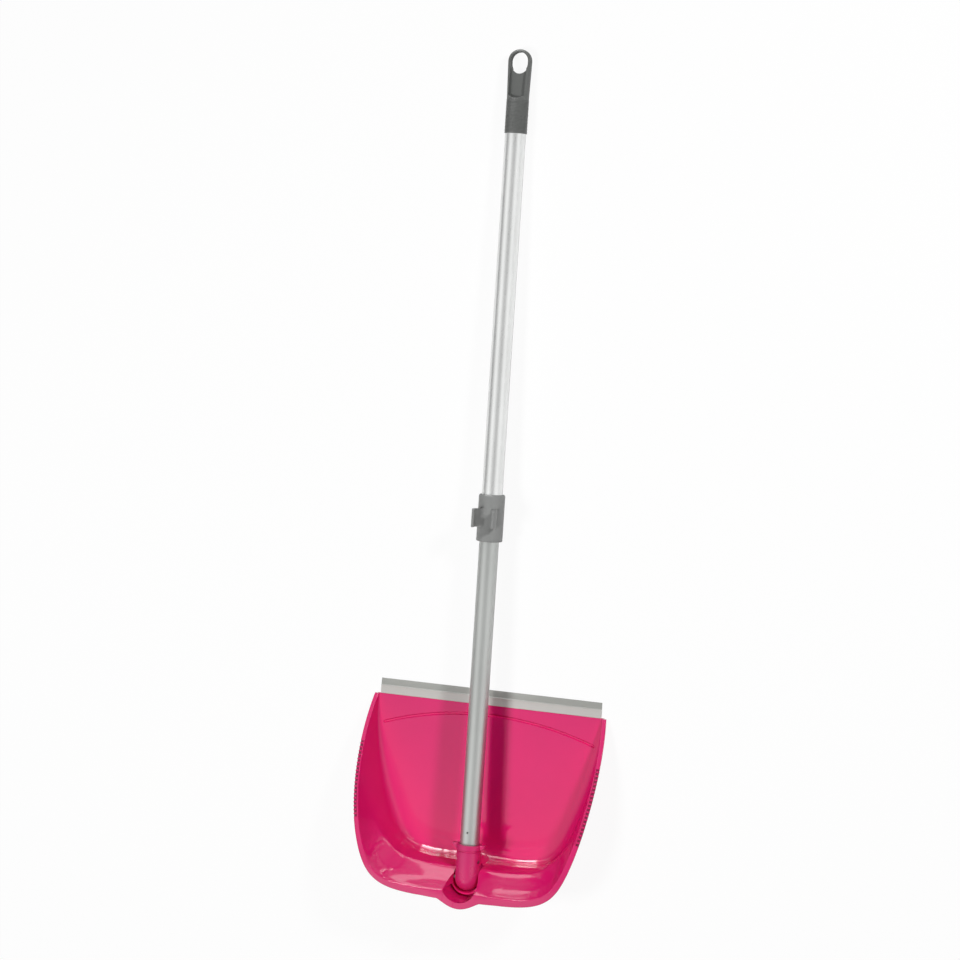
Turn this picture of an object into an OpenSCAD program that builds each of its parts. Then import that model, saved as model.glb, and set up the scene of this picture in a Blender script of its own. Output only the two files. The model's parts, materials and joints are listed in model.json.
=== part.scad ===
// Long-handled dustpan: moulded pan with a soft lip, folding socket and twist-locked telescopic handle.
// +X to the right, +Y from the pan's back to its mouth, +Z up. The origin is on the pan's underside.
// The handle lies folded forward over the pan, with its grip on the ground.

/* [Pan] */
// Width of the mouth
mouth_w = 263; // [240:1:290]
// Depth from the front edge to the back rim
pan_depth = 197; // [190:1:215]
// Height of the back rim
rim_h = 82; // [78:1:92]
// Height of the rim at the front corners
front_h = 5; // [4.5:0.5:8]
// Thickness of the walls
wall = 2.2; // [1.6:0.1:3]
// Thickness of the floor
floor_t = 3; // [2.6:0.1:4]
// Width of the flat rim along the sides
side_rim_w = 4.5; // [4:0.5:7]
// Width of the flat rim at the back
back_rim_w = 9.5; // [6:0.5:12]
// Thickness of the rim
rim_t = 2.2; // [1.6:0.1:3]
// Distance from the origin to the front edge
front_y = 75; // [60:1:90]

/* [Comb] */
// Number of notches along each side rim
notch_count = 20; // [10:1:26]
// Width of a notch
notch_w = 1.7; // [1:0.1:2]
// Depth of a notch
notch_depth = 1.9; // [1:0.1:2.2]
// Distance of the first notch behind the front edge
comb_from = 49; // [40:1:55]
// Length of the comb, measured towards the back
comb_len = 74; // [60:1:80]

/* [Mouth] */
// Distance of the curved groove's crown behind the front edge
groove_from = 9; // [8:0.5:14]
// How far the groove falls back at its ends
groove_rise = 25; // [18:1:28]
// Width of the groove
groove_w = 2.2; // [1:0.1:3]
// Depth of the groove
groove_depth = 0.8; // [0.3:0.1:0.8]
// Width of the soft lip
lip_w = 250.5; // [225:0.5:251]
// Length of the lip in front of the pan
lip_len = 16.8; // [10:0.1:22]
// Thickness of the lip at the pan
lip_t = 2.4; // [2.2:0.1:2.6]
// Thickness of the lip at its free edge
lip_edge_t = 0.8; // [0.6:0.1:1.2]
// Depth of the lip's tongue in the pan
tongue_len = 7; // [5:0.5:8]
// Thickness of the lip's tongue
tongue_t = 1.4; // [1:0.1:1.6]

/* [Hinge] */
// Distance of the pin in front of the back rim
hinge_in = 17.5; // [15:0.5:20]
// Height of the hinge pin
hinge_z = 50.5; // [50:0.5:54]
// Diameter of the hinge pin
pin_d = 6; // [5:0.5:7]
// Depth of the pin's ends in the pan
pin_hold = 2.2; // [1.5:0.1:2.4]
// Thickness of the cup's wall beside the socket
cheek_t = 3.4; // [2.6:0.1:4]
// Height of the cup under the socket
cheek_h = 44.5; // [40:0.5:46]
// Radius of the flared niche for the upright handle, at the rim
niche_r = 19.4; // [19:0.1:20.5]
// Outer radius of the bulge in the back wall
bulge_r = 26.4; // [24:0.1:28]

/* [Socket] */
// Diameter of the socket
socket_d = 26.7; // [25.5:0.1:27]
// Length of the socket from the pin to its mouth
socket_len = 37.3; // [36.5:0.1:39]
// Diameter of the ring at the mouth
ring_d = 27.8; // [27.2:0.1:28]
// Length of the ring
ring_len = 6; // [5:0.1:6.4]
// Width over the ring's side wings
wing_w = 36; // [32:0.5:37]
// Height of the wings
wing_h = 7; // [4:0.5:8]
// Reach of the wings above the handle's axis
wing_up = 4; // [2:0.5:4.5]
// Distance from the pin to the end of the lower tube
tube_from = 7.5; // [7:0.5:9]
// Distance from the pin to the socket screw
screw_at = 19.5; // [17:0.5:22]
// Turn of the socket screw from the top of the handle
screw_turn = 72; // [60:1:80]
// Head diameter of the socket screw
screw_head_d = 4.6; // [4:0.1:5]
// Height of the socket screw's head
screw_head_h = 1.2; // [0.8:0.1:1.4]
// Thread diameter of the socket screw
screw_d = 2.6; // [2:0.1:3]
// Length of the socket screw under its head
screw_len = 5; // [4:0.5:6]

/* [Tubes] */
// Outer diameter of the lower tube
lower_d = 20.9; // [20.4:0.1:21]
// Wall of the lower tube
lower_wall = 0.7; // [0.5:0.1:1]
// Distance from the pin to the top end of the lower tube
lower_to = 470; // [450:1:480]
// Diameter of the small punched hole in the lower tube
punch_d = 2; // [1.5:0.1:3]
// Distance from the pin to the punched hole
punch_at = 51; // [45:0.5:60]
// Wall of the upper tube
upper_wall = 0.45; // [0.4:0.05:0.8]
// Distance from the pin to the top end of the upper tube
upper_to = 826; // [815:1:828]

/* [Collar] */
// Outer diameter of the collar
collar_d = 28; // [26.5:0.1:29]
// Length of the collar
collar_len = 50; // [46:0.5:60]
// Distance from the pin to the collar
collar_from = 364; // [350:0.5:372]
// Length of the guide lip at the collar's mouth
collar_lip = 4; // [3:0.5:6]
// Radius of the stick that the clip holds
stick_r = 10.5; // [9.5:0.1:11.5]
// Wall of the clip
clip_wall = 2.8; // [2:0.1:3.2]
// Length of the clip
clip_len = 19.5; // [14:0.5:22]
// Distance from the collar's mouth to the clip
clip_from = 16; // [10:0.5:20]
// Angle that the clip covers
clip_wrap = 230; // [200:1:240]

/* [Grip] */
// Distance from the pin to the grip
grip_from = 794.2; // [785:0.1:800]
// Length of the ringed part
ferrule_len = 36.3; // [34:0.1:42]
// Diameter over the rings
ferrule_d = 24; // [23.4:0.1:26]
// Number of grooves between rings
ring_count = 11; // [6:1:14]
// Depth of the grooves
ring_depth = 0.4; // [0.2:0.1:0.6]
// Width of the flat end
paddle_w = 25; // [24:0.5:28]
// Length of the flat end
paddle_len = 51.4; // [48:0.1:60]
// Thickness of the flat end
paddle_t = 8; // [6:0.5:10]
// Width of the hanging hole
hang_w = 19; // [16:0.2:20]
// Length of the hanging hole
hang_len = 22.2; // [20:0.2:26]
// Thickness of the web under the thumb recess
web_t = 5; // [4:0.5:6]
// Width of the thumb recess
recess_w = 17; // [13:0.5:18]
// Radius of the thumb recess's end
recess_r = 12; // [10:0.5:16]

/* [Twist lock] */
// Length of the core in the lower tube
core_plug_len = 25; // [18:1:35]
// Thickness of the core's shoulder
core_shoulder = 3; // [2:0.5:5]
// Diameter of the core's journal
journal_d = 11; // [10:0.5:12]
// Offset of the journal from the tube's axis
journal_off = 0.6; // [0.4:0.1:0.8]
// Length of the cam sleeve
sleeve_len = 14; // [10:1:18]
// Width of the sleeve's slit
slit_w = 1.5; // [1:0.1:2.5]
// Diameter of the washer
washer_d = 16; // [14.5:0.5:18]
// Thickness of the washer
washer_t = 1; // [0.8:0.1:1.5]
// Thread diameter of the washer's screw
cam_screw_d = 3; // [2.5:0.1:3.5]
// Length of the washer's screw under its head
cam_screw_len = 11; // [8:0.5:14]
// Head diameter of the washer's screw
cam_head_d = 5.8; // [5:0.1:7]
// Head height of the washer's screw
cam_head_h = 2.2; // [1.6:0.1:2.6]

/* [Hidden] */
$fn = 64;

// Fits and overruns
overrun = 1;
press_gap = 0.02;
run_gap = 0.05;
slide_gap = 0.1;
side_gap = 0.3;
rest_gap = 0.2;
cup_gap = 0.6;
bulge_drop = 0.3;

// Colours
pan_pink = "#d9246a";
tube_silver = "#b9bbb8";
collar_grey = "#8b8c8a";
grip_grey = "#6a6c6a";
lip_grey = "#a9aca8";
steel_grey = "#9a9c9e";
lock_white = "#e6e6e2";

// Pan outline, as shares of half the mouth and of the depth behind the front edge
side_rim_shares = [[1, 0], [1.06, 0.232], [1.011, 0.54], [0.915, 0.735]];
back_rim_shares = [[0.915, 0.735], [0.785, 1], [0.655, 1], [0, 1]];
side_floor_shares = [[0.955, 0], [0.965, 0.19], [0.75, 0.4], [0.655, 0.575]];
back_floor_shares = [[0.655, 0.575], [0.565, 0.718], [0.5, 0.738], [0, 0.738]];
// Share of the depth over which the rim rises
rise_share = 0.98;
// Wall section: shares of the reach where the foot lies and of the rest where the kink lies,
// share of the height where the wall kinks, and share of the lower wall taken by the fillet
foot_share = 0.52;
lean_share = 0.06;
kink_share = 0.57;
// Shares of the half outline between which the kink grows, from a straight wall at the side
fade_shares = [0.42, 0.66];
bend_share = 0.3;
stations = 26;
fillet_steps = 4;
top_step = fillet_steps + 2;
// Shares of smaller shapes: how deep a notch goes into the rim, how far the clip sinks into the
// collar, where the ring's wings come to a point, a grip groove's and a screw slot's half width
notch_share = 0.6;
clip_sink_share = 0.25;
wing_point_share = 0.25;
groove_share = 0.25;
slot_share = 0.25;
halvings = 20;

// Hinge and handle
lid_h = 2 * rim_h;
tongue_z = (floor_t - tongue_t) / 2;
hinge_y = front_y - pan_depth + hinge_in;
socket_r = socket_d / 2;
ring_r = ring_d / 2;
cheek_in = socket_r + side_gap;
cheek_out = cheek_in + cheek_t;
pin_r = pin_d / 2;
pin_reach = cheek_in + pin_hold;
ferrule_r = ferrule_d / 2;
ferrule_to = grip_from + ferrule_len;
tilt = asin((hinge_z - ferrule_r - rest_gap) / ferrule_to);
pocket_z = hinge_z - socket_r - cup_gap - cheek_out * sin(tilt);

// Tubes
lower_r = lower_d / 2;
lower_in = lower_r - lower_wall;
upper_in = lower_r + slide_gap;
upper_r = upper_in + upper_wall;
upper_from = collar_from + collar_lip;
screw_r = screw_d / 2;
screw_head_r = screw_head_d / 2;
screw_seat = socket_r - screw_head_h - slide_gap;

// Collar clip
collar_r = collar_d / 2;
clip_out = stick_r + clip_wall;
clip_axis = collar_r + stick_r - clip_wall * clip_sink_share;
clip_mouth = (360 - clip_wrap) / 2;
mouth_reach = clip_out + overrun;

// Grip
paddle_mid = ferrule_to + paddle_len - paddle_w / 2;
hang_r = hang_w / 2;
hang_run = hang_len - hang_w;
hang_rim = (paddle_w - hang_w) / 2;
hang_mid = ferrule_to + paddle_len - hang_rim - hang_len / 2;
ring_pitch = ferrule_len / (ring_count + 1);

// Twist lock
shoulder_to = lower_to + core_shoulder;
journal_r = journal_d / 2;
journal_to = shoulder_to + sleeve_len + 2 * slide_gap;
sleeve_in = journal_r + journal_off + slide_gap;
cam_screw_r = cam_screw_d / 2;

function lerp(a, b, u) = a + (b - a) * u;
function bez(p, u) =
    pow(1 - u, 3) * p[0] + 3 * pow(1 - u, 2) * u * p[1] + 3 * (1 - u) * u * u * p[2] + pow(u, 3) * p[3];
function bez_slope(p, u) =
    pow(1 - u, 2) * (p[1] - p[0]) + 2 * (1 - u) * u * (p[2] - p[1]) + u * u * (p[3] - p[2]);
// Half outlines run from the front corner (0) by the back corner (1) to the middle of the back (2)
function place(p) = [p[0] * mouth_w / 2, front_y - p[1] * pan_depth];
function rim_xy(t) = place(t <= 1 ? bez(side_rim_shares, t) : bez(back_rim_shares, t - 1));
function floor_xy(t) = place(t <= 1 ? bez(side_floor_shares, t) : bez(back_floor_shares, t - 1));
function rim_slope(t) = t <= 1 ? bez_slope(side_rim_shares, t) : bez_slope(back_rim_shares, t - 1);
function out_xy(t) =
    let (s = rim_slope(t), d = [s[0] * mouth_w / 2, s[1] * pan_depth])
    [d[1], d[0]] / norm(d);
function rim_z(t) =
    let (behind = (front_y - rim_xy(t)[1]) / pan_depth)
    front_h + (rim_h - front_h) * sin(90 * min(1, behind / rise_share));
function rim_w(t) = lerp(side_rim_w, back_rim_w, pow(t / 2, 2));
function wall_top(t) = rim_xy(t) - out_xy(t) * rim_w(t);
function wall_foot(t) = lerp(floor_xy(t), wall_top(t), foot_share);
function up(p, z) = [p[0], p[1], z];
function lean(t) =
    let (u = min(1, max(0, (t / 2 - fade_shares[0]) / (fade_shares[1] - fade_shares[0]))))
    lerp(kink_share, lean_share, u * u * (3 - 2 * u));
// Wall section from the floor's edge (step 0), round the fillet, up to the kink and out to the rim
function section(t, step, shift, low, high) =
    let (
        edge = up(floor_xy(t), low),
        foot = up(wall_foot(t) + out_xy(t) * shift, low),
        top = up(wall_top(t) + out_xy(t) * shift, high),
        kink = up(lerp(foot, top, lean(t)), lerp(low, high, kink_share)),
        bend = lerp(foot, kink, bend_share),
        u = step / fillet_steps
    )
    step == top_step ? top
    : step > fillet_steps ? kink
    : lerp(lerp(edge, foot, u), lerp(foot, bend, u), u);

// Whole ring of points from a list that covers the right half, front corner to back
function both_sides(half) =
    let (n = len(half))
    concat(half, [for (i = [n - 2 : -1 : 0]) [-half[i][0], half[i][1], half[i][2]]]);
function inner_half(step) =
    let (pts = [for (i = [0 : stations]) let (t = 2 * i / stations)
        section(t, step, 0, floor_t, rim_z(t))])
    concat([pts[0] + [0, overrun, 0]], pts);
function inner_lid() =
    [for (p = inner_half(top_step)) up(p, lid_h)];
function outer_half(step) =
    [for (i = [0 : stations]) let (t = 2 * i / stations)
        section(t, step, wall, 0, rim_z(t) - rim_t)];
function rim_half(drop) =
    [for (i = [0 : stations]) let (t = 2 * i / stations) up(rim_xy(t), rim_z(t) - drop)];

// Solid through a stack of rings, closed across the mouth and by strips from side to side
module bowl(rings) {
    m = len(rings[0]);
    k = len(rings);
    last = (k - 1) * m;
    half = (m - 1) / 2;
    points = [for (r = rings) for (p = r) p];
    sides = [for (a = [0 : k - 2]) for (j = [0 : m - 1])
        let (n = (j + 1) % m)
        each [[a * m + j, (a + 1) * m + n, (a + 1) * m + j], [a * m + j, a * m + n, (a + 1) * m + n]]];
    floor_strips = [for (j = [0 : half - 1])
        each j == half - 1
            ? [[j, j + 2, j + 1]]
            : [[j, m - 2 - j, j + 1], [j, m - 1 - j, m - 2 - j]]];
    lid_strips = [for (f = floor_strips) [last + f[2], last + f[1], last + f[0]]];
    polyhedron(points, concat(sides, floor_strips, lid_strips), convexity = 6);
}

// Places a child along the handle: +Z runs from the pin to the grip, -Y faces up
module on_handle(at = 0) {
    translate([0, hinge_y, hinge_z])
        rotate([-90 - tilt, 0, 0])
            translate([0, 0, at])
                children();
}

// Places a child radially on the handle, +Z pointing out, turned from the top of the handle
module radial(at, turn) {
    translate([0, 0, at])
        rotate([0, 0, turn - 90])
            rotate([0, 90, 0])
                children();
}

module tube(r_out, r_in, h) {
    difference() {
        cylinder(r = r_out, h = h);
        translate([0, 0, -overrun])
            cylinder(r = r_in, h = h + 2 * overrun);
    }
}

module pan_shell() {
    difference() {
        union() {
            bowl(concat(
                [for (step = [0 : top_step]) both_sides(outer_half(step))],
                [both_sides(rim_half(rim_t)), both_sides(rim_half(0))]));
            translate([0, hinge_y, 0])
                difference() {
                    cylinder(r = bulge_r, h = rim_h - bulge_drop);
                    translate([0, 0, -overrun])
                        cylinder(r = bulge_r - wall, h = cheek_h - floor_t + overrun);
                }
        }
        bowl(concat(
            [for (step = [0 : top_step]) both_sides(inner_half(step))],
            [both_sides(inner_lid())]));
    }
}

// Cup under the socket's round end, hollow from below
module hinge_cup() {
    translate([0, hinge_y, 0])
        difference() {
            cylinder(r = cheek_out, h = cheek_h);
            translate([0, 0, -overrun])
                cylinder(r = cheek_out - wall, h = pocket_z - floor_t + overrun);
        }
}

// Room for the socket's round end, open to the front for the folded handle, and the flared niche
// above the pin in which the handle stands upright
module socket_room() {
    translate([0, hinge_y, pocket_z])
        linear_extrude(rim_h) {
            circle(r = cheek_in);
            translate([-cheek_in, 0])
                square([2 * cheek_in, cheek_out + overrun]);
        }
    flare = (niche_r - cheek_in) / (rim_h - hinge_z);
    translate([0, hinge_y, hinge_z])
        cylinder(r1 = cheek_in, r2 = niche_r + flare * overrun, h = rim_h - hinge_z + overrun);
}

module comb_notches() {
    pitch = comb_len / (notch_count - 1);
    for (flip = [0, 1])
        mirror([flip, 0, 0])
            for (i = [0 : notch_count - 1]) {
                t = notch_t((comb_from + i * pitch) / pan_depth, 0, 1, 0);
                p = rim_xy(t);
                d = out_xy(t);
                translate([p[0], p[1], rim_z(t) - rim_t * notch_share])
                    rotate([0, 0, atan2(d[1], d[0])])
                        translate([-notch_depth, -notch_w / 2, 0])
                            cube([notch_depth + overrun, notch_w, rim_h + overrun]);
            }
}

// Parameter of the side rim at a share of the depth, found by halving
function notch_t(share, low, high, depth) =
    let (mid = (low + high) / 2)
    depth > halvings ? mid
    : bez(side_rim_shares, mid)[1] < share ? notch_t(share, mid, high, depth + 1)
    : notch_t(share, low, mid, depth + 1);

// Groove on the floor along an arc through its crown and its two ends
module mouth_groove() {
    half_w = mouth_w / 2;
    arc_r = (half_w * half_w + groove_rise * groove_rise) / (2 * groove_rise);
    translate([0, front_y - groove_from - arc_r, floor_t - groove_depth])
        difference() {
            cylinder(r = arc_r, h = groove_depth + groove_depth, $fn = 256);
            translate([0, 0, -overrun])
                cylinder(r = arc_r - groove_w, h = groove_depth + groove_depth + 2 * overrun, $fn = 256);
            translate([-arc_r - overrun, -arc_r - overrun, -overrun])
                cube([2 * (arc_r + overrun), 2 * arc_r - groove_rise + overrun, floor_t + 2 * overrun]);
        }
}

module pan() {
    color(pan_pink)
        difference() {
            union() {
                pan_shell();
                hinge_cup();
            }
            socket_room();
            translate([-pin_reach - slide_gap, hinge_y, hinge_z])
                rotate([0, 90, 0])
                    cylinder(r = pin_r + press_gap, h = 2 * (pin_reach + slide_gap));
            translate([-lip_w / 2 - slide_gap, front_y - tongue_len - slide_gap, tongue_z - press_gap])
                cube([lip_w + 2 * slide_gap, tongue_len + slide_gap + overrun, tongue_t + 2 * press_gap]);
            mouth_groove();
            comb_notches();
        }
}

module lip_blade() {
    color(lip_grey)
        translate([-lip_w / 2, front_y, 0])
            rotate([90, 0, 90])
                linear_extrude(lip_w)
                    polygon([
                        [press_gap, 0],
                        [lip_len, 0],
                        [lip_len, lip_edge_t],
                        [press_gap, lip_t],
                        [press_gap, tongue_z + tongue_t],
                        [-tongue_len, tongue_z + tongue_t],
                        [-tongue_len, tongue_z],
                        [press_gap, tongue_z]]);
}

module hinge_pin() {
    color(steel_grey)
        translate([-pin_reach, hinge_y, hinge_z])
            rotate([0, 90, 0])
                cylinder(r = pin_r, h = 2 * pin_reach);
}

module ring_wings() {
    for (side = [-1, 1])
        translate([0, wing_h - wing_up, socket_len])
            rotate([90, 0, 0])
                linear_extrude(wing_h)
                    polygon([
                        [side * (socket_r - ring_len / 2), 0],
                        [side * wing_w / 2, 0],
                        [side * wing_w / 2, -ring_len * wing_point_share],
                        [side * socket_r, -ring_len],
                        [side * (socket_r - ring_len / 2), -ring_len]]);
}

module handle_socket() {
    color(pan_pink)
        on_handle()
            difference() {
                union() {
                    sphere(r = socket_r);
                    cylinder(r = socket_r, h = socket_len);
                    translate([0, 0, socket_len - ring_len])
                        cylinder(r = ring_r, h = ring_len);
                    ring_wings();
                }
                translate([0, 0, tube_from])
                    cylinder(r = lower_r + press_gap, h = socket_len);
                translate([-socket_r - overrun, 0, 0])
                    rotate([0, 90, 0])
                        cylinder(r = pin_r + run_gap, h = 2 * (socket_r + overrun));
                radial(screw_at, screw_turn) {
                    cylinder(r = screw_r + press_gap, h = socket_r);
                    translate([0, 0, screw_seat])
                        cylinder(r = screw_head_r + slide_gap, h = socket_r);
                }
            }
}

module socket_screw() {
    color(steel_grey)
        on_handle()
            radial(screw_at, screw_turn) {
                translate([0, 0, screw_seat])
                    difference() {
                        cylinder(r = screw_head_r, h = screw_head_h);
                        for (turn = [0, 90])
                            rotate([0, 0, turn])
                                translate([-screw_r, -screw_r * slot_share, screw_head_h / 2])
                                    cube([screw_d, 2 * screw_r * slot_share, screw_head_h]);
                    }
                translate([0, 0, screw_seat - screw_len])
                    cylinder(r = screw_r, h = screw_len);
            }
}

module lower_tube() {
    color(tube_silver)
        on_handle()
            difference() {
                translate([0, 0, tube_from])
                    tube(lower_r, lower_in, lower_to - tube_from);
                radial(screw_at, screw_turn)
                    cylinder(r = screw_r + press_gap, h = lower_d);
                radial(punch_at, 0)
                    cylinder(d = punch_d, h = lower_d);
            }
}

module cam_core() {
    color(lock_white)
        on_handle(lower_to)
            difference() {
                union() {
                    translate([0, 0, -core_plug_len])
                        cylinder(r = lower_in - press_gap, h = core_plug_len);
                    cylinder(r = lower_r, h = core_shoulder);
                    translate([0, -journal_off, 0])
                        cylinder(r = journal_r, h = journal_to - lower_to);
                }
                translate([0, 0, journal_to - lower_to - cam_screw_len])
                    cylinder(r = cam_screw_r + press_gap, h = cam_screw_len + overrun);
            }
}

module cam_sleeve() {
    color(lock_white)
        on_handle(shoulder_to + slide_gap)
            difference() {
                tube(lower_r, sleeve_in, sleeve_len);
                translate([0, -slit_w / 2, -overrun])
                    cube([lower_d, slit_w, sleeve_len + 2 * overrun]);
            }
}

module cam_washer() {
    color(steel_grey)
        on_handle(journal_to)
            tube(washer_d / 2, cam_screw_r + slide_gap, washer_t);
}

module cam_screw() {
    color(steel_grey)
        on_handle(journal_to + washer_t) {
            cylinder(d = cam_head_d, h = cam_head_h);
            translate([0, 0, -cam_screw_len])
                cylinder(r = cam_screw_r, h = cam_screw_len);
        }
}

// Open clip for a broom stick, on top of the collar
module stick_clip() {
    translate([0, -clip_axis, clip_from])
        difference() {
            union() {
                cylinder(r = clip_out, h = clip_len);
                translate([-clip_wall, 0, 0])
                    cube([2 * clip_wall, clip_axis - collar_r + clip_wall, clip_len]);
            }
            translate([0, 0, -overrun])
                cylinder(r = stick_r, h = clip_len + 2 * overrun);
            translate([0, 0, -overrun])
                linear_extrude(clip_len + 2 * overrun)
                    polygon([
                        [0, 0],
                        [-mouth_reach * tan(clip_mouth), -mouth_reach],
                        [mouth_reach * tan(clip_mouth), -mouth_reach]]);
        }
}

module collar() {
    color(collar_grey)
        on_handle(collar_from)
            difference() {
                union() {
                    cylinder(r = collar_r, h = collar_len);
                    stick_clip();
                }
                translate([0, 0, -overrun])
                    cylinder(r = lower_r + run_gap, h = collar_len);
                translate([0, 0, collar_lip])
                    cylinder(r = upper_r + press_gap, h = collar_len);
            }
}

module upper_tube() {
    color(tube_silver)
        on_handle(upper_from)
            tube(upper_r, upper_in, upper_to - upper_from);
}

function ferrule_outline() =
    concat(
        [[0, 0], [ferrule_r, 0]],
        [for (i = [1 : ring_count]) each [
            [ferrule_r, (i - groove_share) * ring_pitch],
            [ferrule_r - ring_depth, i * ring_pitch],
            [ferrule_r, (i + groove_share) * ring_pitch]]],
        [[ferrule_r, ferrule_len], [0, ferrule_len]]);

module hang_hole() {
    translate([0, ferrule_d, hang_mid])
        rotate([90, 0, 0]) {
            for (side = [-1, 1])
                translate([0, side * hang_run / 2, 0])
                    cylinder(r = hang_r, h = 2 * ferrule_d);
            translate([-hang_r, -hang_run / 2, 0])
                cube([hang_w, hang_run, 2 * ferrule_d]);
        }
}

// Recess for the thumb on one face of the flat end
module thumb_recess(side) {
    rotate([side * 90, 0, 0])
        translate([0, 0, web_t / 2])
            linear_extrude(ferrule_d)
                intersection() {
                    translate([-recess_w / 2, side < 0 ? -hang_mid : ferrule_to])
                        square([recess_w, hang_mid - ferrule_to]);
                    translate([0, side * (ferrule_to + recess_r)])
                        union() {
                            circle(r = recess_r);
                            translate([-recess_r, side < 0 ? -paddle_len : 0])
                                square([2 * recess_r, paddle_len]);
                        }
                }
}

module grip() {
    color(grip_grey)
        on_handle()
            difference() {
                union() {
                    translate([0, 0, grip_from])
                        rotate_extrude()
                            polygon(ferrule_outline());
                    hull() {
                        translate([0, 0, ferrule_to - ring_pitch / 2])
                            cylinder(r = ferrule_r - ring_depth, h = ring_pitch / 2, $fn = 32);
                        translate([0, paddle_t / 2, paddle_mid])
                            rotate([90, 0, 0])
                                cylinder(d = paddle_w, h = paddle_t, $fn = 48);
                    }
                }
                translate([0, 0, grip_from - overrun])
                    cylinder(r = upper_r + press_gap, h = upper_to - grip_from + overrun);
                hang_hole();
                thumb_recess(1);
                thumb_recess(-1);
            }
}

pan();
lip_blade();
hinge_pin();
handle_socket();
socket_screw();
lower_tube();
cam_core();
cam_sleeve();
cam_washer();
cam_screw();
collar();
upper_tube();
grip();
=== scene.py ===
"""Looks of a long-handled dustpan: scoop, soft lip, hinge, telescopic handle, broom clip and grip.

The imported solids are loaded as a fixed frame. Each operator makes one piece, or a group of like pieces,
in metres in that frame, and lets it ride on its body."""

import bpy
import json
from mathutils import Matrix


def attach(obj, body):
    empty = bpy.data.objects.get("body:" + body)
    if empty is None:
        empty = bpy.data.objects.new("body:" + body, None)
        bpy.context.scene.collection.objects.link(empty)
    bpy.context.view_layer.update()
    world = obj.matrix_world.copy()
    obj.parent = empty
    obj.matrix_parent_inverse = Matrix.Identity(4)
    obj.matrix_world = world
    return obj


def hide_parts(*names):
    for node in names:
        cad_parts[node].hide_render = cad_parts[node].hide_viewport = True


bl_info = {
    "name": "Long-handled dustpan",
    "version": (1, 0, 0),
    "blender": (4, 5, 0),
    "location": "View3D > Sidebar > Dustpan",
    "description": "Builds the visible pieces of a folding dustpan around its solid frame",
    "category": "Add Mesh",
}

import json
import math

import bmesh
import bpy
import numpy as np
from bpy.props import FloatProperty, FloatVectorProperty, IntProperty, PointerProperty
from mathutils import Matrix, Vector
from mathutils.geometry import delaunay_2d_cdt

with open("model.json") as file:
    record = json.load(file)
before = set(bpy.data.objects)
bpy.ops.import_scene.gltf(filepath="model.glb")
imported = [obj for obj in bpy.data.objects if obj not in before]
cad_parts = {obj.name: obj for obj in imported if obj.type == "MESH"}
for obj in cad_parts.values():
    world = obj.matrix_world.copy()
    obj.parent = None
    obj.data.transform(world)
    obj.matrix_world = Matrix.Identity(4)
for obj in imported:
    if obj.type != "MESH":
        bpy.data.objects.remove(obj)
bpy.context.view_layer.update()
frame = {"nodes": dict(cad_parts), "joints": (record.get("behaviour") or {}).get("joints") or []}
JOINTS = {joint["name"]: joint for joint in frame["joints"]}
PIN = Vector(JOINTS["fold"]["pos_m"])
ALONG = Vector(JOINTS["slide"]["axis"]).normalized()
ACROSS = Vector((1, 0, 0))
DOWN = ALONG.cross(ACROSS)
HANDLE = Matrix((ACROSS, DOWN, ALONG)).transposed().to_4x4()
HANDLE.translation = PIN

# Outline of the scoop, as shares of half the mouth and of the depth behind the front edge
SIDE_RIM_SHARES = np.array([(1, 0), (1.06, 0.232), (1.011, 0.54), (0.915, 0.735)])
BACK_RIM_SHARES = np.array([(0.915, 0.735), (0.785, 1), (0.655, 1), (0, 1)])
SIDE_FLOOR_SHARES = np.array([(0.955, 0), (0.965, 0.19), (0.75, 0.4), (0.655, 0.575)])
BACK_FLOOR_SHARES = np.array([(0.655, 0.575), (0.565, 0.718), (0.5, 0.738), (0, 0.738)])
# Wall section: how far the rim takes to rise, where the foot, the kink and the fillet's end lie
RISE_SHARE = 0.98
FOOT_SHARE = 0.52
LEAN_SHARE = 0.06
KINK_SHARE = 0.57
BEND_SHARE = 0.3
# Shares of the upper wall where its straight part ends and where its turn to the rim lies, and how far
# both lie behind the straight line, as shares of the wall's reach
SWELL_SHARES = ((0.5, 0.045), (0.65, 0.06))
# Fall of the rim to its outer edge, as a share of its width
RIM_FALL_SHARE = 0.12
# Shares of the half outline between which the kink grows, from a straight wall at the side
FADE_SHARES = (0.42, 0.66)


def length(name, default, text):
    """A property for a length in metres."""
    return FloatProperty(name=name, description=text, default=default, unit="LENGTH", precision=4)


def colour(name, default, text):
    """A property for a linear colour."""
    return FloatVectorProperty(name=name, description=text, default=default, subtype="COLOR", min=0, max=1)


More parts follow.
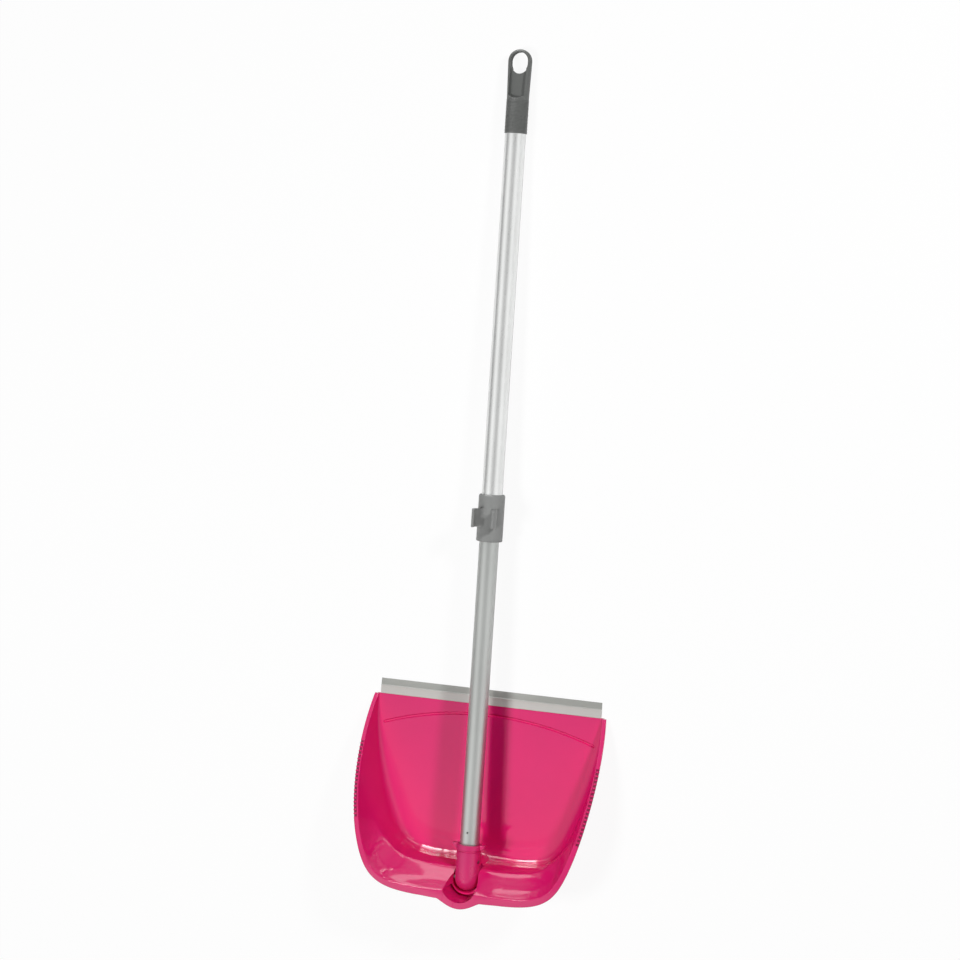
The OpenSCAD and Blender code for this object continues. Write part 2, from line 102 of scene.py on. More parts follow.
class ScoopSizes(bpy.types.PropertyGroup):
    """Sizes of the scoop and its lip."""

    mouth_width: length("Mouth width", 0.26299, "Width of the scoop at its front edge")
    depth: length("Depth", 0.197, "Front edge to back rim")
    rim_height: length("Rim height", 0.082, "Height of the back rim")
    front_height: length("Front height", 0.005, "Height of the side rims at the front edge")
    front_y: length("Front edge", 0.075, "Place of the front edge")
    wall: length("Wall", 0.0022, "Thickness of the walls")
    floor_thickness: length("Floor", 0.003, "Thickness of the floor")
    side_rim: length("Side rim", 0.0045, "Width of the rim at the front corners")
    back_rim: length("Back rim", 0.0095, "Width of the rim at the back")
    rim_thickness: length("Rim thickness", 0.0022, "Thickness of the rim")
    rim_soft: length("Rim edge", 0.0011, "Rounding of the rim's edges")
    crest_soft: length("Crest", 0.0008, "Rounding where the wall turns into the rim")
    comb_from: length("Comb start", 0.049, "Front edge to the first notch")
    comb_length: length("Comb length", 0.074, "First notch to last notch")
    notches: IntProperty(name="Notches", description="Notches in each side rim", default=20, min=2)
    notch_width: length("Notch width", 0.0021, "Width of a notch")
    notch_depth: length("Notch depth", 0.0033, "Depth of a notch")
    groove_from: length("Groove place", 0.009, "Front edge to the crown of the floor's groove")
    groove_rise: length("Groove rise", 0.025, "Rise of the groove's arc")
    groove_width: length("Groove width", 0.0034, "Width of the groove")
    groove_depth: length("Groove depth", 0.0016, "Depth of the groove")
    kink_soft: length("Kink", 0.0028, "Softness of the wall's kink")
    cup_room: length("Cup room", 0.01365, "Half the room between the cup's horns")
    cup_radius: length("Cup", 0.01705, "Radius of the cup under the socket")
    cup_height: length("Cup height", 0.0445, "Height of the cup")
    cup_floor: length("Cup floor", 0.03576, "Height of the cup's floor")
    shield_radius: length("Shield", 0.0165, "Outer radius of the thin wall behind the socket's end")
    shield_height: length("Shield height", 0.0575, "Height of that wall")
    niche_radius: length("Niche", 0.0194, "Radius of the upright handle's niche at the rim")
    bulge_radius: length("Bulge", 0.02636, "Outer radius of the bulge in the back wall")
    bulge_blend: length("Bulge blend", 0.0085, "Softness of the rim's turn into the bulge")
    lip_width: length("Lip width", 0.2505, "Width of the soft lip")
    lip_length: length("Lip length", 0.0168, "Reach of the lip in front of the scoop")
    lip_thickness: length("Lip thickness", 0.0024, "Thickness of the lip at the scoop")
    lip_edge: length("Lip edge", 0.0008, "Thickness of the lip at its free edge")


class HandleSizes(bpy.types.PropertyGroup):
    """Sizes of the handle, measured along it from the hinge pin."""

    socket_radius: length("Socket", 0.01335, "Radius of the socket")
    socket_length: length("Socket length", 0.0373, "Pin to the socket's mouth")
    ring_radius: length("Socket ring", 0.0139, "Radius of the ring at the mouth")
    ring_length: length("Ring length", 0.006, "Length of that ring")
    wing_width: length("Wings", 0.036, "Width over the ring's wings")
    wing_height: length("Wing height", 0.007, "Height of the wings")
    wing_up: length("Wing reach", 0.004, "Reach of the wings above the handle's axis")
    tube_from: length("Tube start", 0.0075, "Pin to the lower tube's end")
    lower_radius: length("Lower tube", 0.01045, "Radius of the lower tube")
    lower_wall: length("Lower wall", 0.0007, "Wall of the lower tube")
    lower_to: length("Lower tube end", 0.47, "Pin to the lower tube's far end")
    upper_radius: length("Upper tube", 0.011, "Radius of the upper tube")
    upper_wall: length("Upper wall", 0.00045, "Wall of the upper tube")
    upper_from: length("Upper tube start", 0.368, "Pin to the upper tube's near end")
    upper_to: length("Upper tube end", 0.826, "Pin to the upper tube's far end")
    screw_at: length("Screw place", 0.0195, "Pin to the socket screw")
    screw_turn: FloatProperty(
        name="Screw turn", description="Turn of the socket screw from the handle's top",
        default=math.radians(72), subtype="ANGLE")
    punch_at: length("Punch place", 0.051, "Pin to the punched hole in the lower tube")
    punch_radius: length("Punch", 0.001, "Radius of the punched hole")
    collar_radius: length("Collar", 0.014, "Radius of the collar")
    collar_from: length("Collar start", 0.364, "Pin to the collar")
    collar_length: length("Collar length", 0.05, "Length of the collar")
    clip_from: length("Clip start", 0.016, "Collar's start to the clip")
    clip_length: length("Clip length", 0.0195, "Length of the clip")
    clip_radius: length("Clip", 0.0105, "Radius of the stick that the clip takes")
    clip_wall: length("Clip wall", 0.0028, "Thickness of the clip's arms")
    clip_axis: length("Clip height", 0.0238, "Handle's axis to the clip's axis")
    clip_wrap: FloatProperty(
        name="Clip wrap", description="How far the arms go round the stick",
        default=math.radians(230), subtype="ANGLE")
    grip_from: length("Grip start", 0.7942, "Pin to the grip")
    ferrule_length: length("Ringed length", 0.0363, "Length of the grip's ringed part")
    ferrule_radius: length("Ringed radius", 0.012, "Radius over the rings")
    rings: IntProperty(name="Rings", description="Fine rings on the grip", default=24, min=2)
    ring_wire: length("Ring thickness", 0.0005, "Thickness of a fine ring")
    paddle_width: length("Flat end", 0.025, "Width of the grip's flat end")
    paddle_length: length("Flat end length", 0.0514, "Length of the flat end")
    paddle_thickness: length("Flat end thickness", 0.008, "Thickness of the flat end")
    hole_width: length("Hole width", 0.019, "Width of the hanging hole")
    hole_length: length("Hole length", 0.0222, "Length of the hanging hole")
    web: length("Thumb web", 0.005, "Thickness left under the thumb recesses")
    recess_width: length("Thumb recess", 0.017, "Width of the thumb recesses")
    recess_radius: length("Recess end", 0.012, "Radius of the recess's round end")


class Finishes(bpy.types.PropertyGroup):
    """Colours of the dustpan's materials."""

    pink: colour("Scoop pink", (0.75, 0.01, 0.16), "Glossy plastic of the scoop")
    pink_deep: colour("Deep pink", (0.69, 0.009, 0.145), "Second tone of the scoop's plastic")
    notch_painted_shade: colour("Shaded pink", (0.2, 0.004, 0.045), "Shadowed beds of the comb's gaps")
    # Painted shade: a dark pink for the beds of the comb's notches, which stands in for the shade down in
    # those narrow gaps
    socket_pink: colour("Socket pink", (0.52, 0.03, 0.145), "Satin plastic of the socket")
    lip_pale: colour("Lip", (0.54, 0.535, 0.51), "Inner band of the lip")
    lip_dark: colour("Lip edge", (0.33, 0.335, 0.315), "Outer band of the lip")
    tube: colour("Tube", (0.88, 0.89, 0.88), "Satin metal of the upper tube")
    lower_tube: colour("Lower tube", (0.52, 0.535, 0.52), "Satin metal of the lower tube")
    collar: colour("Collar", (0.26, 0.265, 0.26), "Plastic of the collar and clip")
    grip: colour("Grip", (0.125, 0.13, 0.125), "Plastic of the grip")
    steel: colour("Steel", (0.45, 0.46, 0.47), "Pin, screws and washer")
    lock: colour("Lock", (0.72, 0.72, 0.7), "Plastic of the twist lock")


# Mesh helpers

# Angle from which an edge is sharp, distances at which points are one and edges have no length, and the least
# divisor of a slab's mitres
SHARP_ANGLE = math.radians(38)
ONE_POINT, NO_LENGTH = 1e-7, 1e-8
LEAST_MITRE = 0.4


def finished(name, mesh, material, crease=SHARP_ANGLE):
    """A piece at the origin with smooth faces and sharp edges beyond the crease angle."""
    mesh.materials.clear()
    mesh.materials.append(material)
    mesh.shade_smooth()
    mesh.set_sharp_from_angle(angle=crease)
    mesh.update()
    piece = bpy.data.objects.new(name, mesh)
    bpy.context.scene.collection.objects.link(piece)
    return piece


def plain_mesh(name, shell):
    """A mesh from a bmesh, which goes."""
    mesh = bpy.data.meshes.new(name)
    shell.to_mesh(mesh)
    shell.free()
    return mesh


def joined(name, meshes):
    """One mesh from several, which go."""
    whole = bmesh.new()
    for mesh in meshes:
        whole.from_mesh(mesh)
        bpy.data.meshes.remove(mesh)
    return plain_mesh(name, whole)


def mesh_of(name, parts):
    """One mesh from several (points, faces), each with its faces turned outwards."""
    meshes = []
    for points, faces in parts:
        part = bmesh.new()
        verts = [part.verts.new(p) for p in points]
        for face in faces:
            if len(set(face)) > 2:
                part.faces.new([verts[i] for i in face])
        bmesh.ops.remove_doubles(part, verts=part.verts, dist=ONE_POINT)
        bmesh.ops.dissolve_degenerate(part, edges=part.edges, dist=NO_LENGTH)
        bmesh.ops.recalc_face_normals(part, faces=part.faces)
        meshes.append(plain_mesh("part", part))
    return joined(name, meshes)


def evaluated(source):
    """A plain mesh of an object with its modifiers; the object goes."""
    bpy.context.view_layer.update()
    depsgraph = bpy.context.evaluated_depsgraph_get()
    mesh = bpy.data.meshes.new_from_object(source.evaluated_get(depsgraph), depsgraph=depsgraph)
    source.modifiers.clear()
    bpy.data.objects.remove(source)
    return mesh


def scratch(mesh):
    """An object that only carries a mesh through modifiers."""
    thing = bpy.data.objects.new("scratch", mesh)
    bpy.context.scene.collection.objects.link(thing)
    return thing


def cut(mesh, cutters):
    """A mesh with several closed meshes cut out of it."""
    body = scratch(mesh)
    tools = [scratch(tool) for tool in cutters]
    for tool in tools:
        step = body.modifiers.new("cut", "BOOLEAN")
        step.operation, step.solver, step.object = "DIFFERENCE", "EXACT", tool
    result = evaluated(body)
    for tool in tools:
        bpy.data.objects.remove(tool)
    return result


def softened(mesh, voxel, passes):
    """A mesh rebuilt on a fine grid and smoothed, which rounds all its edges as a mould does."""
    body = scratch(mesh)
    grid = body.modifiers.new("grid", "REMESH")
    grid.mode, grid.voxel_size, grid.adaptivity = "VOXEL", voxel, 0
    soft = body.modifiers.new("soft", "SMOOTH")
    soft.factor, soft.iterations = 0.5, passes
    return evaluated(body)


def turned(profile, segments=96):
    """Points and faces of a closed profile of (along, radius) turned about the handle's axis."""
    n = len(profile)
    angles = [2 * math.pi * k / segments for k in range(segments)]
    points = [(r * math.cos(a), r * math.sin(a), s) for a in angles for s, r in profile]
    faces = []
    for k in range(segments):
        here, there = k * n, (k + 1) % segments * n
        for i in range(n):
            j = (i + 1) % n
            if profile[i][1] == 0 and profile[j][1] == 0:
                continue
            faces.append((here + i, here + j, there + j, there + i))
    return points, faces


def lofted(count, n):
    """Faces through a number of rings of n points each, closed at both ends."""
    faces = [tuple(range(n - 1, -1, -1)), tuple(range((count - 1) * n, count * n))]
    for first in range(0, (count - 1) * n, n):
        for i in range(n):
            j = (i + 1) % n
            faces.append((first + i, first + j, first + n + j, first + n + i))
    return faces


def slab(outline, low, high, soft, steps=4, place=None):
    """Points and faces of a slab over an anticlockwise outline, with both its rims rounded."""
    flat = np.array(outline, float)
    before = flat - np.roll(flat, 1, 0)
    after = np.roll(flat, -1, 0) - flat
    before /= np.linalg.norm(before, axis=1)[:, None]
    after /= np.linalg.norm(after, axis=1)[:, None]
    out_a = np.stack([before[:, 1], -before[:, 0]], 1)
    out_b = np.stack([after[:, 1], -after[:, 0]], 1)
    mitre = (out_a + out_b) / (1 + (out_a * out_b).sum(1))[:, None].clip(LEAST_MITRE)
    arc = [math.pi / 2 * k / steps for k in range(steps + 1)]
    rows = [(low + soft * (1 - math.cos(a)), soft * (1 - math.sin(a))) for a in arc]
    rows += [(high - soft * (1 - math.cos(a)), soft * (1 - math.sin(a))) for a in arc[::-1]]
    place = place or (lambda u, v, w: (u, v, w))
    n = len(flat)
    points = [place(*(flat[i] - mitre[i] * inset), w) for w, inset in rows for i in range(n)]
    return points, lofted(len(rows), n)


def polar(centre, radius, angle):
    """The point at an angle round a centre."""
    return centre[0] + radius * math.cos(angle), centre[1] + radius * math.sin(angle)


def arc_points(centre, radius, start, end, steps):
    """Points on an arc, angles in radians."""
    return [polar(centre, radius, start + (end - start) * k / steps) for k in range(steps + 1)]


def round_bar(start, end, radius, segments=32):
    """A closed round bar between two points, for cutting holes."""
    axis = (Vector(end) - Vector(start)).normalized()
    side = axis.orthogonal().normalized()
    other = axis.cross(side)
    points = []
    for centre in (Vector(start), Vector(end)):
        for k in range(segments):
            a = 2 * math.pi * k / segments
            points.append(tuple(centre + side * radius * math.cos(a) + other * radius * math.sin(a)))
    faces = [tuple(range(segments)), tuple(range(2 * segments - 1, segments - 1, -1))]
    for k in range(segments):
        j = (k + 1) % segments
        faces.append((k, j, segments + j, segments + k))
    return mesh_of("bar", [(points, faces)])


# Materials


def node(tree, kind, inputs, **settings):
    """A new node in a tree; each input is a value, or a socket to link it from."""
    made = tree.nodes.new(kind)
    for name, value in settings.items():
        setattr(made, name, value)
    for key, value in inputs.items():
        if isinstance(value, bpy.types.NodeSocket):
            tree.links.new(value, made.inputs[key])
        else:
            made.inputs[key].default_value = value
    return made


def reckoned(tree, operation, *values):
    """The result of a sum on values or sockets."""
    return node(tree, "ShaderNodeMath", dict(enumerate(values)), operation=operation).outputs[0]


def bare_material(name):
    """A material with an empty tree."""
    material = bpy.data.materials.new(name)
    material.use_nodes = True
    material.node_tree.nodes.clear()
    return material


def surface(name):
    """The tree of a new material, and its object coordinates."""
    tree = bare_material(name).node_tree
    return tree, tree.nodes.new("ShaderNodeTexCoord").outputs["Object"]


def principled(tree, inputs):
    """Ends a material's tree with a principled shader on these inputs."""
    shader = node(tree, "ShaderNodeBsdfPrincipled", inputs)
    node(tree, "ShaderNodeOutputMaterial", {"Surface": shader.outputs["BSDF"]})


def mottle(tree, coords, scale, detail=3.0, stretch=None):
    """Noise on object coordinates, stretched where asked."""
    if stretch is not None:
        coords = node(tree, "ShaderNodeMapping", {"Vector": coords, "Scale": stretch}).outputs["Vector"]
    noise = node(tree, "ShaderNodeTexNoise", {"Vector": coords, "Scale": scale, "Detail": detail})
    return noise.outputs["Fac"]


def spread(tree, value, low, high, source=(0.3, 0.7)):
    """A value mapped from its source range, which is a noise's by default, to another."""
    ends = {"From Min": source[0], "From Max": source[1], "To Min": low, "To Max": high}
    return node(tree, "ShaderNodeMapRange", {"Value": value, **ends}).outputs["Result"]


def two_tone(tree, factor, first, second):
    """A colour between two, by a factor."""
    tones = {"Factor": factor, "A": (*first, 1), "B": (*second, 1)}
    return node(tree, "ShaderNodeMix", tones, data_type="RGBA").outputs["Result"]


def ripple(tree, height, strength, distance):
    """Normals bumped by a height."""
    bump = node(tree, "ShaderNodeBump", {"Height": height, "Strength": strength, "Distance": distance})
    return bump.outputs["Normal"]


def shaded(tone, share):
    """A colour at a share of its strength."""
    return tuple(c * share for c in tone)


# Sizes of the plastics' colour drift and gloss patches, detail and strength of their skin
DRIFT_SCALE, PATCH_SCALE = 9, 45
SKIN_DETAIL, SKIN_STRENGTH = 2, 0.35


def moulded_plastic(name, first, second, gloss, grain, grain_depth, ior=1.49):
    """Moulded plastic: slow colour drift, uneven gloss and a fine skin."""
    tree, coords = surface(name)
    drift = spread(tree, mottle(tree, coords, DRIFT_SCALE), 0, 1)
    skin = mottle(tree, coords, grain, SKIN_DETAIL)
    principled(tree, {
        "Base Color": two_tone(tree, drift, first, second),
        "Roughness": spread(tree, mottle(tree, coords, PATCH_SCALE), *gloss),
        "IOR": ior,
        "Normal": ripple(tree, skin, SKIN_STRENGTH, grain_depth)})


# Stretch and detail of the metal's drawn lines, their bump, and the size and darker share of its patches
LINE_STRETCH, LINE_DETAIL = (2600, 18, 2600), 4
LINE_STRENGTH, LINE_HEIGHT = 0.12, 0.00004
METAL_PATCH_SCALE, METAL_DARK_SHARE = 14, 0.93
# How much smoother and rougher than its mean the metal gets
SMOOTHER, ROUGHER = 0.04, 0.06


def drawn_metal(name, base, rough):
    """Satin drawn metal: fine lines along the handle, uneven gloss."""
    tree, coords = surface(name)
    lines = mottle(tree, coords, 1, LINE_DETAIL, LINE_STRETCH)
    patches = spread(tree, mottle(tree, coords, METAL_PATCH_SCALE), 0, 1)
    principled(tree, {
        "Base Color": two_tone(tree, patches, base, shaded(base, METAL_DARK_SHARE)),
        "Roughness": spread(tree, lines, rough - SMOOTHER, rough + ROUGHER),
        "Metallic": 1,
        "Normal": ripple(tree, lines, LINE_STRENGTH, LINE_HEIGHT)})


# Lip: width of the change between its bands, its dust, its gloss, and its skin's grain, strength and height
BAND_SOFT, DUST_SCALE, DUST_DETAIL = 0.0016, 30, 4
LIP_GLOSS = (0.42, 0.6)
LIP_GRAIN, LIP_GRAIN_DETAIL, LIP_SKIN_STRENGTH, LIP_SKIN_HEIGHT = 700, 3, 0.25, 0.0001


def soft_lip(name, pale, dark, edge):
    """Soft lip in two bands along its length, a little dusty."""
    tree, coords = surface(name)
    along = node(tree, "ShaderNodeSeparateXYZ", {"Vector": coords}).outputs["Y"]
    dust = mottle(tree, coords, DUST_SCALE, DUST_DETAIL)
    worn = reckoned(tree, "MULTIPLY_ADD", dust, BAND_SOFT, along)
    band = spread(tree, worn, 0, 1, (edge, edge + BAND_SOFT))
    skin = mottle(tree, coords, LIP_GRAIN, LIP_GRAIN_DETAIL)
    principled(tree, {
        "Base Color": two_tone(tree, band, pale, dark),
        "Roughness": spread(tree, dust, *LIP_GLOSS),
        "Normal": ripple(tree, skin, LIP_SKIN_STRENGTH, LIP_SKIN_HEIGHT)})


# Share of the lip's length that its inner band takes
BAND_SHARE = 0.56


def materials():
    """The dustpan's materials, made once."""
    if bpy.data.materials.get("scoop_plastic") is None:
        look, sizes = bpy.context.scene.dustpan_finishes, bpy.context.scene.dustpan_scoop
        collar, grip, lock = shaded(look.collar, 0.9), shaded(look.grip, 0.88), shaded(look.lock, 0.93)
        moulded_plastic("scoop_plastic", look.pink, look.pink_deep, (0.045, 0.075), 260, 0.000003, 1.5)
        # The comb's beds get painted shade: one dark pink that stands in for the shade in the notches
        moulded_plastic("comb_painted_shade", look.notch_painted_shade, look.notch_painted_shade, (0.35, 0.45), 420, 0.00002)
        moulded_plastic("socket_plastic", look.socket_pink, look.pink_deep, (0.26, 0.36), 500, 0.00006, 1.6)
        moulded_plastic("collar_plastic", look.collar, collar, (0.38, 0.5), 900, 0.0001)
        moulded_plastic("grip_plastic", look.grip, grip, (0.4, 0.52), 900, 0.00012)
        moulded_plastic("lock_plastic", look.lock, lock, (0.45, 0.55), 700, 0.00008)
        drawn_metal("upper_tube_metal", look.tube, 0.3)
        drawn_metal("lower_tube_metal", look.lower_tube, 0.44)
        drawn_metal("fastener_steel", look.steel, 0.32)
        edge = sizes.front_y + sizes.lip_length * BAND_SHARE
        soft_lip("lip_rubber", look.lip_pale, look.lip_dark, edge)
    return bpy.data.materials


# Scoop


def eased(value, low, high):
    """0 below low and 1 above high, with a smooth rise between."""
    u = min(1.0, max(0.0, (value - low) / (high - low)))
    return u * u * (3 - 2 * u)


class ScoopRule:
    """The scoop's outline and sections, from its sizes."""

    def __init__(self, sizes):
        self.s = sizes
        self.scale = np.array([sizes.mouth_width / 2, -sizes.depth])
        self.start = np.array([0, sizes.front_y])

    def along(self, side, back, t):
        """The point at t, 0 to 1 along the side and 1 to 2 along the back."""
        shares, u = (side, t) if t <= 1 else (back, t - 1)
        v = 1 - u
        return self.start + self.scale * (
            v**3 * shares[0] + 3 * v * v * u * shares[1] + 3 * v * u * u * shares[2] + u**3 * shares[3])

    def rim(self, t):
        """The rim's outer edge in plan."""
        return self.along(SIDE_RIM_SHARES, BACK_RIM_SHARES, t)

    def floor(self, t):
        """The floor's edge in plan."""
        return self.along(SIDE_FLOOR_SHARES, BACK_FLOOR_SHARES, t)

    def outward(self, t):
        """The direction out of the scoop, square to the rim."""
        shares, u = (SIDE_RIM_SHARES, t) if t <= 1 else (BACK_RIM_SHARES, t - 1)
        v = 1 - u
        slope = (v * v * (shares[1] - shares[0]) + 2 * v * u * (shares[2] - shares[1])
                 + u * u * (shares[3] - shares[2])) * np.abs(self.scale)
        return np.array([slope[1], slope[0]]) / np.linalg.norm(slope)

    def height(self, t):
        """Height of the rim."""
        rise = math.sin(math.pi / 2 * min(1.0, self.behind(t) / self.s.depth / RISE_SHARE))
        return self.s.front_height + (self.s.rim_height - self.s.front_height) * rise

    def rim_width(self, t):
        """Width of the rim."""
        return self.s.side_rim + (self.s.back_rim - self.s.side_rim) * (t / 2) ** 2

    def rim_fall(self, t):
        """Fall of the rim to its outer edge."""
        return RIM_FALL_SHARE * self.rim_width(t)

    def lean(self, t):
        """Share of the wall's reach at its kink."""
        return KINK_SHARE + (LEAN_SHARE - KINK_SHARE) * eased(t / 2, *FADE_SHARES)

    def behind(self, t):
        """Depth of the rim behind the front edge."""
        return self.s.front_y - self.rim(t)[1]

    def at_depth(self, depth):
        """The t of the side rim at a depth behind the front edge."""
        low, high = 0.0, 1.0
        for _ in range(HALVINGS):
            mid = (low + high) / 2
            low, high = (mid, high) if self.behind(mid) < depth else (low, mid)
        return (low + high) / 2

    def comb_range(self):
        """Depths between which the rim steps back for the comb."""
        half = self.s.notch_width / 2
        return self.s.comb_from - half, self.s.comb_from + self.s.comb_length + half


# Rows of a section: fillet, lower wall, kink, upper wall, each rounding at the rim, and the outside
FILLET_ROWS, LOW_ROWS, KINK_ROWS, HIGH_ROWS = 12, 8, 4, 10
CREST_ROWS, OUTER_ROWS = 4, 7
# Most that the roundings of crest and kink take, as shares of the wall's height
CREST_SHARE, KINK_SOFT_SHARE = 0.35, 0.1
# Rounds in which a place on the rim is found
HALVINGS = 40


def blend(a, b, u):
    """The point a share u of the way from a to b."""
    return a + (b - a) * u


def bow(a, b, c, steps, first=0):
    """Points of a quadratic bow from a to c with its corner at b."""
    return [blend(blend(a, b, k / steps), blend(b, c, k / steps), k / steps) for k in range(first, steps + 1)]


def lift(p, z):
    """A plan point at a height."""
    return np.array([p[0], p[1], z])


def wall_line(edge, foot, top, lean, low, high):
    """Corners of a wall section: floor edge, foot, end of the fillet, kink and top."""
    kink = lift(blend(foot, top, lean), blend(low, high, KINK_SHARE))
    foot = lift(foot, low)
    return lift(edge, low), foot, blend(foot, kink, BEND_SHARE), kink, lift(top, high)


def upper_wall(kink, top, flat, lean, cut_back):
    """Points from above the kink to below the rim: straight at first, then turning up to the rim."""
    full = (KINK_SHARE - lean) / (KINK_SHARE - LEAN_SHARE)
    reach = np.linalg.norm((top - kink)[:2])
    end, turn = [blend(kink, top, u) + flat * reach * swell * full for u, swell in SWELL_SHARES]
    first = kink + (end - kink) / np.linalg.norm(end - kink) * cut_back[0]
    last = top - (top - turn) / np.linalg.norm(top - turn) * cut_back[1]
    half = HIGH_ROWS // 2
    return [blend(first, end, k / half) for k in range(half)] + bow(end, turn, last, HIGH_ROWS - half)


def scoop_section(rule, edge, foot, top, out, rim, height, lean, fall):
    """Points of one section: floor edge, fillet, kinked wall, crest, rim, and down the outside."""
    s = rule.s
    flat = lift(out, 0)
    rise_soft = min(s.crest_soft, CREST_SHARE * (height - s.floor_thickness))
    e, f, bend, kink, t = wall_line(edge, foot, top, lean, s.floor_thickness, height)
    soft = min(s.kink_soft, KINK_SOFT_SHARE * (height - s.floor_thickness))
    below = kink + (bend - kink) / np.linalg.norm(bend - kink) * soft
    upper = upper_wall(kink, t, flat, lean, (soft, rise_soft))
    rows = bow(e, f, bend, FILLET_ROWS)
    rows += [blend(bend, below, k / LOW_ROWS) for k in range(1, LOW_ROWS)]
    rows += bow(below, kink, upper[0], KINK_ROWS) + upper[1:]
    rows += bow(upper[-1], t, t + flat * rise_soft, CREST_ROWS, 1)
    o = lift(rim, height - fall)
    half = np.array([0, 0, s.rim_thickness / 2])
    rows += bow(o - flat * s.rim_soft, o, o - half, CREST_ROWS)
    rows += bow(o - half, o - 2 * half, o - 2 * half - flat * s.rim_soft, CREST_ROWS, 1)
    shift = np.array(out) * s.wall
    eo, fo, bo, ko, to = wall_line(
        edge, np.array(foot) + shift, np.array(top) + shift, lean, 0, height - fall - s.rim_thickness)
    rows += upper_wall(ko, to, flat, lean, (0, 0))[::-1]
    rows += [blend(ko, bo, k / OUTER_ROWS) for k in range(1, OUTER_ROWS)]
    rows += bow(bo, fo, eo, OUTER_ROWS)
    return np.array(rows)


# First row of a section that lies outside the rim
OUTER_ROW = FILLET_ROWS + LOW_ROWS + KINK_ROWS + HIGH_ROWS + 3 * CREST_ROWS + 2


def soft_max(a, b, width):
    """The larger of two values, rounded where they are nearer than the width."""
    near = max(width - abs(a - b), 0.0) / width
    return max(a, b) + near * near * width / 4


# Sections along the side, and the step in finding where it ends
SIDE_COLUMNS, SIDE_STEP = 96, 0.0005
# Half width of the back where sections follow x alone, and of its level middle
BACK_HALF, LEVEL_HALF = 0.048, 0.024
# Sections from there to the bulge and across the bulge, the gap between both, and the fall beside the bulge
BACK_COLUMNS, BULGE_COLUMNS, BULGE_GAP, BULGE_FALL = 12, 40, 1e-5, 3
# Half the share of the side over which the rim steps back at the comb's ends
COMB_STEP_SHARE = 0.0004


def scoop_half(rule):
    """Sections of the right half, from the front corner to the middle of the back."""
    s = rule.s

    def parts(t):
        """Floor edge, wall foot, wall top, outward direction, rim, and (height, lean, fall)."""
        out, rim, edge = rule.outward(t), rule.rim(t), rule.floor(t)
        top = rim - out * rule.rim_width(t)
        return [edge, blend(edge, top, FOOT_SHARE), top, out, rim,
                np.array([rule.height(t), rule.lean(t), rule.rim_fall(t)])]

    low, high = rule.comb_range()
    t_end = 1.0
    while rule.rim(t_end)[0] > BACK_HALF:
        t_end += SIDE_STEP
    stations = sorted({
        *[t_end * k / SIDE_COLUMNS for k in range(SIDE_COLUMNS + 1)],
        *[rule.at_depth(end) + step for end in (low, high) for step in (-COMB_STEP_SHARE, COMB_STEP_SHARE)]})
    columns = []
    for t in stations:
        edge, foot, top, out, rim, levels = parts(t)
        if t < 1 and low < rule.behind(t) < high:
            rim = rim - out * s.notch_depth
        columns.append(scoop_section(rule, edge, foot, top, out, rim, *levels))
    # The sections of the back go over from the last of the side to the middle one, whose rim has no fall
    near, far = parts(t_end), parts(2)
    far[5][2] = 0
    r_bulge, x_near = s.bulge_radius, near[4][0]
    spans = [np.linspace(x_near, r_bulge + BULGE_GAP, BACK_COLUMNS)[1:],
             np.linspace(r_bulge - BULGE_GAP, 0, BULGE_COLUMNS)]
    for x in np.concatenate(spans):
        share = eased(x, LEVEL_HALF, x_near)
        edge, foot, top, out, rim, levels = [a * share + b * (1 - share) for a, b in zip(near, far)]
        squeeze = [1 + (part[0] / x_near - 1) * share for part in near[:3]]
        edge, foot, top = [np.array([x * k, p[1]]) for k, p in zip(squeeze, (edge, foot, top))]
        out = out / np.linalg.norm(out)
        round_y = math.sqrt(r_bulge**2 - x * x) if x < r_bulge else BULGE_FALL * (r_bulge - x)
        bulge = PIN.y - round_y
        rim = np.array([x, -soft_max(-rim[1], -bulge, s.bulge_blend)])
        rows = scoop_section(rule, edge, foot, top, out, rim, *levels)
        if x < r_bulge:
            rows[OUTER_ROW:-1, 1] = np.minimum(rows[OUTER_ROW:-1, 1], bulge)
            rows[OUTER_ROW:-1, 2] = np.linspace(rows[OUTER_ROW, 2], 0, len(rows) - OUTER_ROW - 1)
        columns.append(rows)
    return columns


# Groove: its lines as shares of its width, with shares of its depth; points along a line
GROOVE_SHARES = ((0, 0), (0.35, 1), (0.74, 1), (1, 0))
GROOVE_POINTS = 61
# Step in finding its ends, room left there beside the floor's edge, and slope of its bed's ends
GROOVE_STEP, GROOVE_ROOM, GROOVE_SLOPE = 0.002, 0.0008, 0.0006


def groove_lines(rule):
    """The groove's lines on the floor: its two banks and its two bed lines, left to right."""
    s = rule.s
    half = s.mouth_width / 2
    radius = (half * half + s.groove_rise**2) / (2 * s.groove_rise)
    centre = s.front_y - s.groove_from - radius
    t = 0.0
    while rule.floor(t)[1] > centre + math.sqrt(radius**2 - rule.floor(t)[0] ** 2) - s.groove_width:
        t += GROOVE_STEP
    reach = rule.floor(t)[0] - GROOVE_ROOM
    lines = []
    for offset, level in GROOVE_SHARES:
        r, end = radius - offset * s.groove_width, reach - level * GROOVE_SLOPE
        line = [(x, centre + math.sqrt(r * r - x * x)) for x in np.linspace(-end, end, GROOVE_POINTS)]
        lines.append((line, s.floor_thickness - level * s.groove_depth))
    return lines


